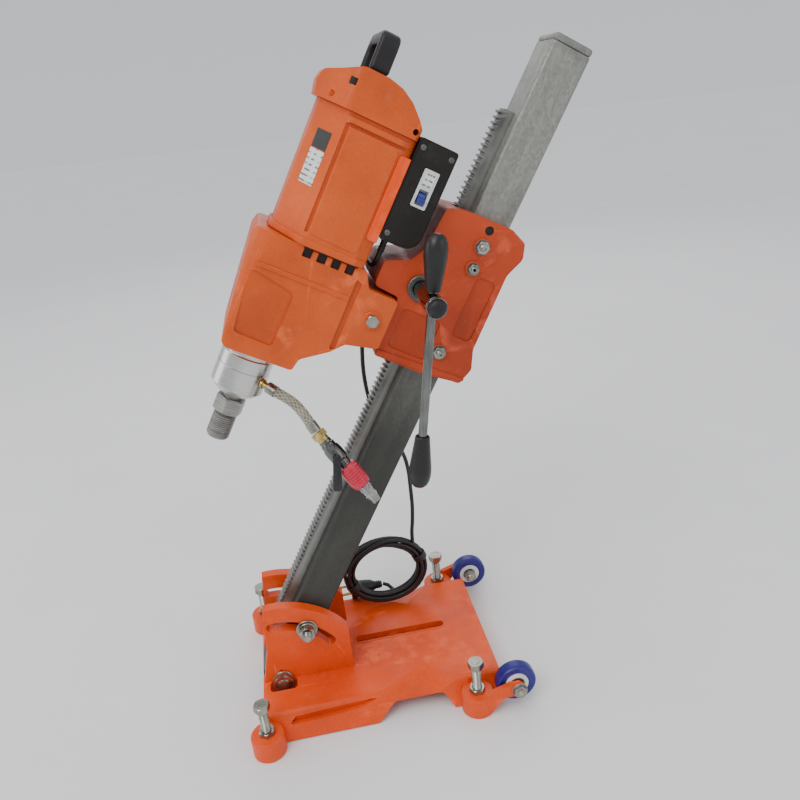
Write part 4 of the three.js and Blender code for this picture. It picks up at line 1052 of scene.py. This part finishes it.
def make_end_cap():
    outline = [(-228, 686.4), (-231, 702), (-228, 713), (-212, 720), (-194, 729), (-168, 729), (-152, 725.5),
               (-137.5, 717.5), (-126, 707), (-117.8, 698), (-117.8, 686.4)]
    side = prism(rounded(outline, [0, 6, 6, 8, 10, 12, 16, 14, 8, 3, 0], 6), -60, 60)
    plan = prism(rounded([(-232, -22), (-198, -60), (-120, -60), (-117, -54), (-117, 54), (-120, 60),
                          (-198, 60), (-232, 22)], [16, 14, 8, 6, 6, 8, 14, 16], 8), 680, 740, "Z")
    body = meet(side, plan)
    cutters = [
        rod(36.8, 680, 690, "Z", MOTOR, 0.2),
        rod(24, 685, 704, "Z", MOTOR, 0.2),
        rod(16.3, 700, 714, "Z", MOTOR, 0.2),
    ]
    for sign in SIDES:
        cutters.append(prism(rounded(panel((-203, -196), (709, 716)), 1, 3), *span(sign, 56, 64)))
        for x in (-214, -124):
            cutters.append(rod(3.2, *span(sign, 40, 64), "Y", (x, 0, 694), 0.2, 24))
    body = cut(body, *cutters)
    piece("motor_cap", body, "carriage", ORANGE_MOTOR, 3.0, "end_cap", steps=4, angle=26)
    shadow = [block((-203.2, -195.8), span(sign, 56.2, 56.6), (708.8, 716.2)) for sign in SIDES]
    piece("cap_recess_shadow", merged(*shadow), "carriage", DARK_HOLE)


def make_handle():
    outer = rounded(panel((-45, 45), (719, 770)), [2, 2, 17, 17], 9)
    inner = rounded(panel((-32.5, 32.5), (700, 757.5)), [0, 0, 8, 8], 7)
    loop = cut(prism(outer, -189, -168.2, "X"), prism(inner, -200, -150, "X"),
               block((-200, -150), (-60, 60), (700, 729.6)))
    piece("carry_handle", loop, "carriage", BLACK_PLASTIC, 4.2, "top_handle", steps=5)


def make_switch_box():
    side = rounded(panel((-117, -74), (583, 693)), [3, 26, 4, 3], 10)
    body = cut(prism(side, -62, 38), block((-102, -84), (-70, -48), (626.5, 667.5)),
               rod(4.2, 570, 598, "Z", LEAD_ENTRY, 0.2))
    piece("box_shell", body, "carriage", BOX_PLASTIC, 1.6, "switch_box")
    lid = rounded(panel((-115.5, -76), (585.5, 691)), [2, 25, 3, 2], 10)
    lid = cut(prism(lid, -63.2, -61.5), block((-102, -84), (-70, -48), (626.5, 667.5)))
    piece("box_lid", lid, "carriage", BOX_PLASTIC, 0.6)
    screws = []
    for x, z in ((-111.5, 684), (-79.5, 684), (-111.5, 592)):
        screws.append(cut(rod(3, -64, -62, "Y", (x, 0, z), 0.5, 32),
                          rod(1.5, -66, -63.4, "Y", (x, 0, z), 0.1, 6)))
    piece("box_screws", merged(*screws), "carriage", DARK_STEEL)
    frame_plate = cut(prism(rounded(panel((-101.4, -84.6), (627, 667)), 1.6, 4), -64.2, -49),
                      block((-98.2, -87.8), (-70, -56), (630, 646)))
    piece("breaker_frame", frame_plate, "carriage", BREAKER_WHITE, 0.6, "breaker_body")
    window = prism(rounded(panel((-98.6, -87.4), (649.5, 664)), 1, 3), -64.6, -64.1)
    piece("breaker_plate", window, "carriage", RATING_PLATE, 0.15)
    centre = (-93, -58, 638)
    lever = prism(rounded(panel((-4, 4), (-2.6, 2.6)), 0.8, 4), -11, 1)
    lever = turn(shift(lever, *centre), 20, "X", centre)
    skirt = lathe(panel((0, 5.6), (-3.9, 3.9)), "X", centre, 40)
    piece("breaker_toggle", merged(lever, skirt), "breaker_lever", LEVER_BLUE, 0.4, "breaker_lever")
    relief = lathe([(0, 565.8), (2.9, 565.8), (3.3, 567), (3.5, 580), (4.0, 583), (4.0, 590), (0, 590)], "Z",
                   LEAD_ENTRY, 32)
    rings = [lathe([(3.0, z), (3.9, z + 0.5), (3.9, z + 1.5), (3.0, z + 2)], "Z", LEAD_ENTRY, 32)
             for z in (568, 571.5, 575, 578.5)]
    piece("lead_boot", merged(relief, *rings), "carriage", CORD_RUBBER, 0, "strain_relief")


def make_label():
    """Black and printed plates on the front corner's flat."""
    start, end = Vector((-222, -24)), Vector((-191, -58))
    run = (end - start).normalized()
    out = Vector((run.y, -run.x))
    width = 20
    middle = (start + end) / 2
    left, right = middle - run * width / 2, middle + run * width / 2
    corners = [left - out * 0.4, right - out * 0.4, right + out * 0.5, left + out * 0.5]
    plates = [("rating_header", 640, 659, LABEL_BLACK), ("rating_label", 603, 639, RATING_PLATE)]
    for name, low, high, material in plates:
        piece(name, prism([tuple(c) for c in corners], low, high, "Z"), "carriage", material, 0.15)


make_gearbox()
make_motor()
make_end_cap()
make_handle()
make_switch_box()
make_label()


# ------------------------------------------------------------------ spindle, collar and water
def make_spindle():
    profile = [(0, 287), (11.8, 287), (12.6, 287.8)]
    z = 289
    while z < 316:
        profile += [(12.7, z), (13.8, z + 0.9), (13.8, z + 1.5), (12.7, z + 2.3)]
        z += 2.6
    profile += [(11, 319), (11, 321), (11.6, 321.4), (12, 322), (12, 505), (0, 505)]
    shaft = lathe(profile, "Z", SPINDLE, 64)
    head = hexagon(31, 321.2, 341, "Z", SPINDLE, 12)
    wheel = cut(rod(25, 476, 496, "Z", SPINDLE, 0.6, 52), rod(11.5, 470, 500, "Z", SPINDLE, 0.1))
    piece("drill_spindle", merged(shaft, head, wheel), "spindle", SPINDLE_STEEL, 0, "spindle")
    collar = [(13, 349.4), (22.6, 349), (24, 349.8), (30.4, 356.4), (31, 357.4), (31, 382), (30.6, 382.4),
              (30.6, 383.2), (31, 383.6), (31, 398), (29.8, 399.4), (29.5, 400), (29.5, 411.2), (13, 411.2)]
    piece("water_ring", lathe(collar, "Z", SPINDLE, 80), "carriage", ALUMINIUM, 0, "water_collar")


def make_water():
    angle = math.radians(-38.5)
    collar_radius = 31.3
    inlet = Vector((SPINDLE[0] + collar_radius * math.cos(angle), collar_radius * math.sin(angle), 374.4))
    start = Vector(HOSE_ROUTE[0])
    reach = (start - inlet).length
    barb = [(0, 0), (5.6, 0), (5.6, 3), (4, 3.4), (4, reach - 0.9), (0, reach - 0.9)]
    piece("inlet_barb", placed(lathe(barb, segments=40), inlet, start), "carriage", BRASS, 0, "hose_barb")
    profile = [(6.05, 0), (6.7, 0), (6.9, 0.6), (6.9, 11.4), (6.7, 12), (6.05, 12)]
    ends = [(start, Vector(HOSE_ROUTE[1])), (TAP_START, Vector(HOSE_ROUTE[-2]))]
    sleeves = [placed(lathe(profile, segments=40), a, b) for a, b in ends]
    crimp = piece("hose_sleeves", merged(*sleeves), "carriage", ZINC)
    nut = merged(hexagon(17, 1.2, 9, "Z"), lathe(panel((0, 7.2), (8.8, 14)), "Z"))
    ferrule = piece("hose_nut", placed(nut, *TAP), "carriage", BRASS, 0.3, "hose_ferrule")
    valve = lathe([(0, 14.2), (7.6, 14.2), (7.6, 18), (8.6, 19), (8.6, 24), (10, 26), (10.4, 33), (10, 42),
                   (8.2, 44), (8.2, 49), (7.6, 49.6), (7.6, 51.9), (0, 51.9)], segments=56)
    valve_piece = piece("tap_body", placed(valve, *TAP), "carriage", CHROME, 0, "valve_body")
    red = [(0, 52.2), (10.4, 52.2), (11.4, 53.4), (11.4, 57)]
    for k in range(6):
        z = 57.5 + 3.4 * k
        red += [(11.9, z), (11.9, z + 2.0), (11.2, z + 2.4), (11.2, z + 3.0)]
    red += [(11.4, 79), (10.2, 82.6), (7.2, 84), (0, 84)]
    coupling = piece("tap_coupling", placed(lathe(red, segments=64), *TAP), "carriage", RED_GLOSS, 0,
                     "quick_connector")
    tip = [(3.2, 84.2), (7.4, 84.2), (7.4, 90), (6.6, 91), (6.6, 96), (7.2, 97), (5.6, 103), (5, 108),
           (3.2, 108)]
    clear = piece("coupling_tip", placed(lathe(tip, segments=48), *TAP), "carriage", CLEAR_TIP)
    stem = along_tap(34) + Vector((0, -12, 0))
    lever = prism(rounded([(-5, 4), (5, 4), (4.5, -8), (5.6, -40), (-5.6, -40), (-4.5, -8)],
                          [4.5, 4.5, 6, 5, 5, 6], 6), -6.2, -2.8)
    hub = rod(5, -6.6, 0, "Y", chamfer=0.6, segments=40)
    lever = turn(join(lever, hub), -24, "Y")
    piece("tap_lever", shift(lever, *stem), "valve_lever", BLACK_PLASTIC, 0.9, "valve_lever")
    return [crimp, ferrule, valve_piece, coupling, clear]


make_spindle()
water_pieces = make_water()


def make_braid():
    """The hose's reinforcing threads, wound both ways just under its skin."""
    data = bpy.data.curves.new("hose_braid", "CURVE")
    data.dimensions = "3D"
    data.bevel_depth = 0.22 * MM
    data.bevel_resolution = 1
    path = [at(COLUMN, *p) for p in through(HOSE_ROUTE, 1.5)]
    side = Vector((0, 1, 0))
    for hand in (1, -1):
        for strand in range(8):
            spline = data.splines.new("POLY")
            spline.points.add(len(path) - 1)
            for i, point in enumerate(path):
                ahead = path[min(i + 1, len(path) - 1)] - path[max(i - 1, 0)]
                ahead.normalize()
                u = (side - ahead * side.dot(ahead)).normalized()
                v = ahead.cross(u)
                a = 2 * math.pi * strand / 8 + hand * i * 0.16
                spline.points[i].co = (*(point + (u * math.cos(a) + v * math.sin(a)) * 5.95 * MM), 1)
    data.materials.append(BRAID_THREAD)
    braid = in_scene("hose_braid", data)
    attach(braid, "carriage")
    return braid


water_pieces.append(make_braid())
sleeve = lathe([(2.85, -9), (4.4, -9), (5, -7.5), (5, 7.5), (4.4, 9), (2.85, 9)], segments=32)
lead_end = Vector(UPPER_LEAD[-1])
lead_sleeve = piece("lead_sleeve", placed(sleeve, lead_end, lead_end * 2 - Vector(UPPER_LEAD[-2])),
                    "column", CORD_RUBBER)

INNER_LOOKS = {
    "gib_strip_near": BRONZE, "gib_strip_far": BRONZE, "stator": DARK_STEEL, "idler_shaft": DARK_STEEL,
    "motor_bearing_low": ZINC, "motor_bearing_top": ZINC, "spindle_bearing": ZINC, "armature": COPPER,
}
for node, material in INNER_LOOKS.items():
    paint_node(node, material)

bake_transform(upper_lead)
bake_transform(lower_lead)
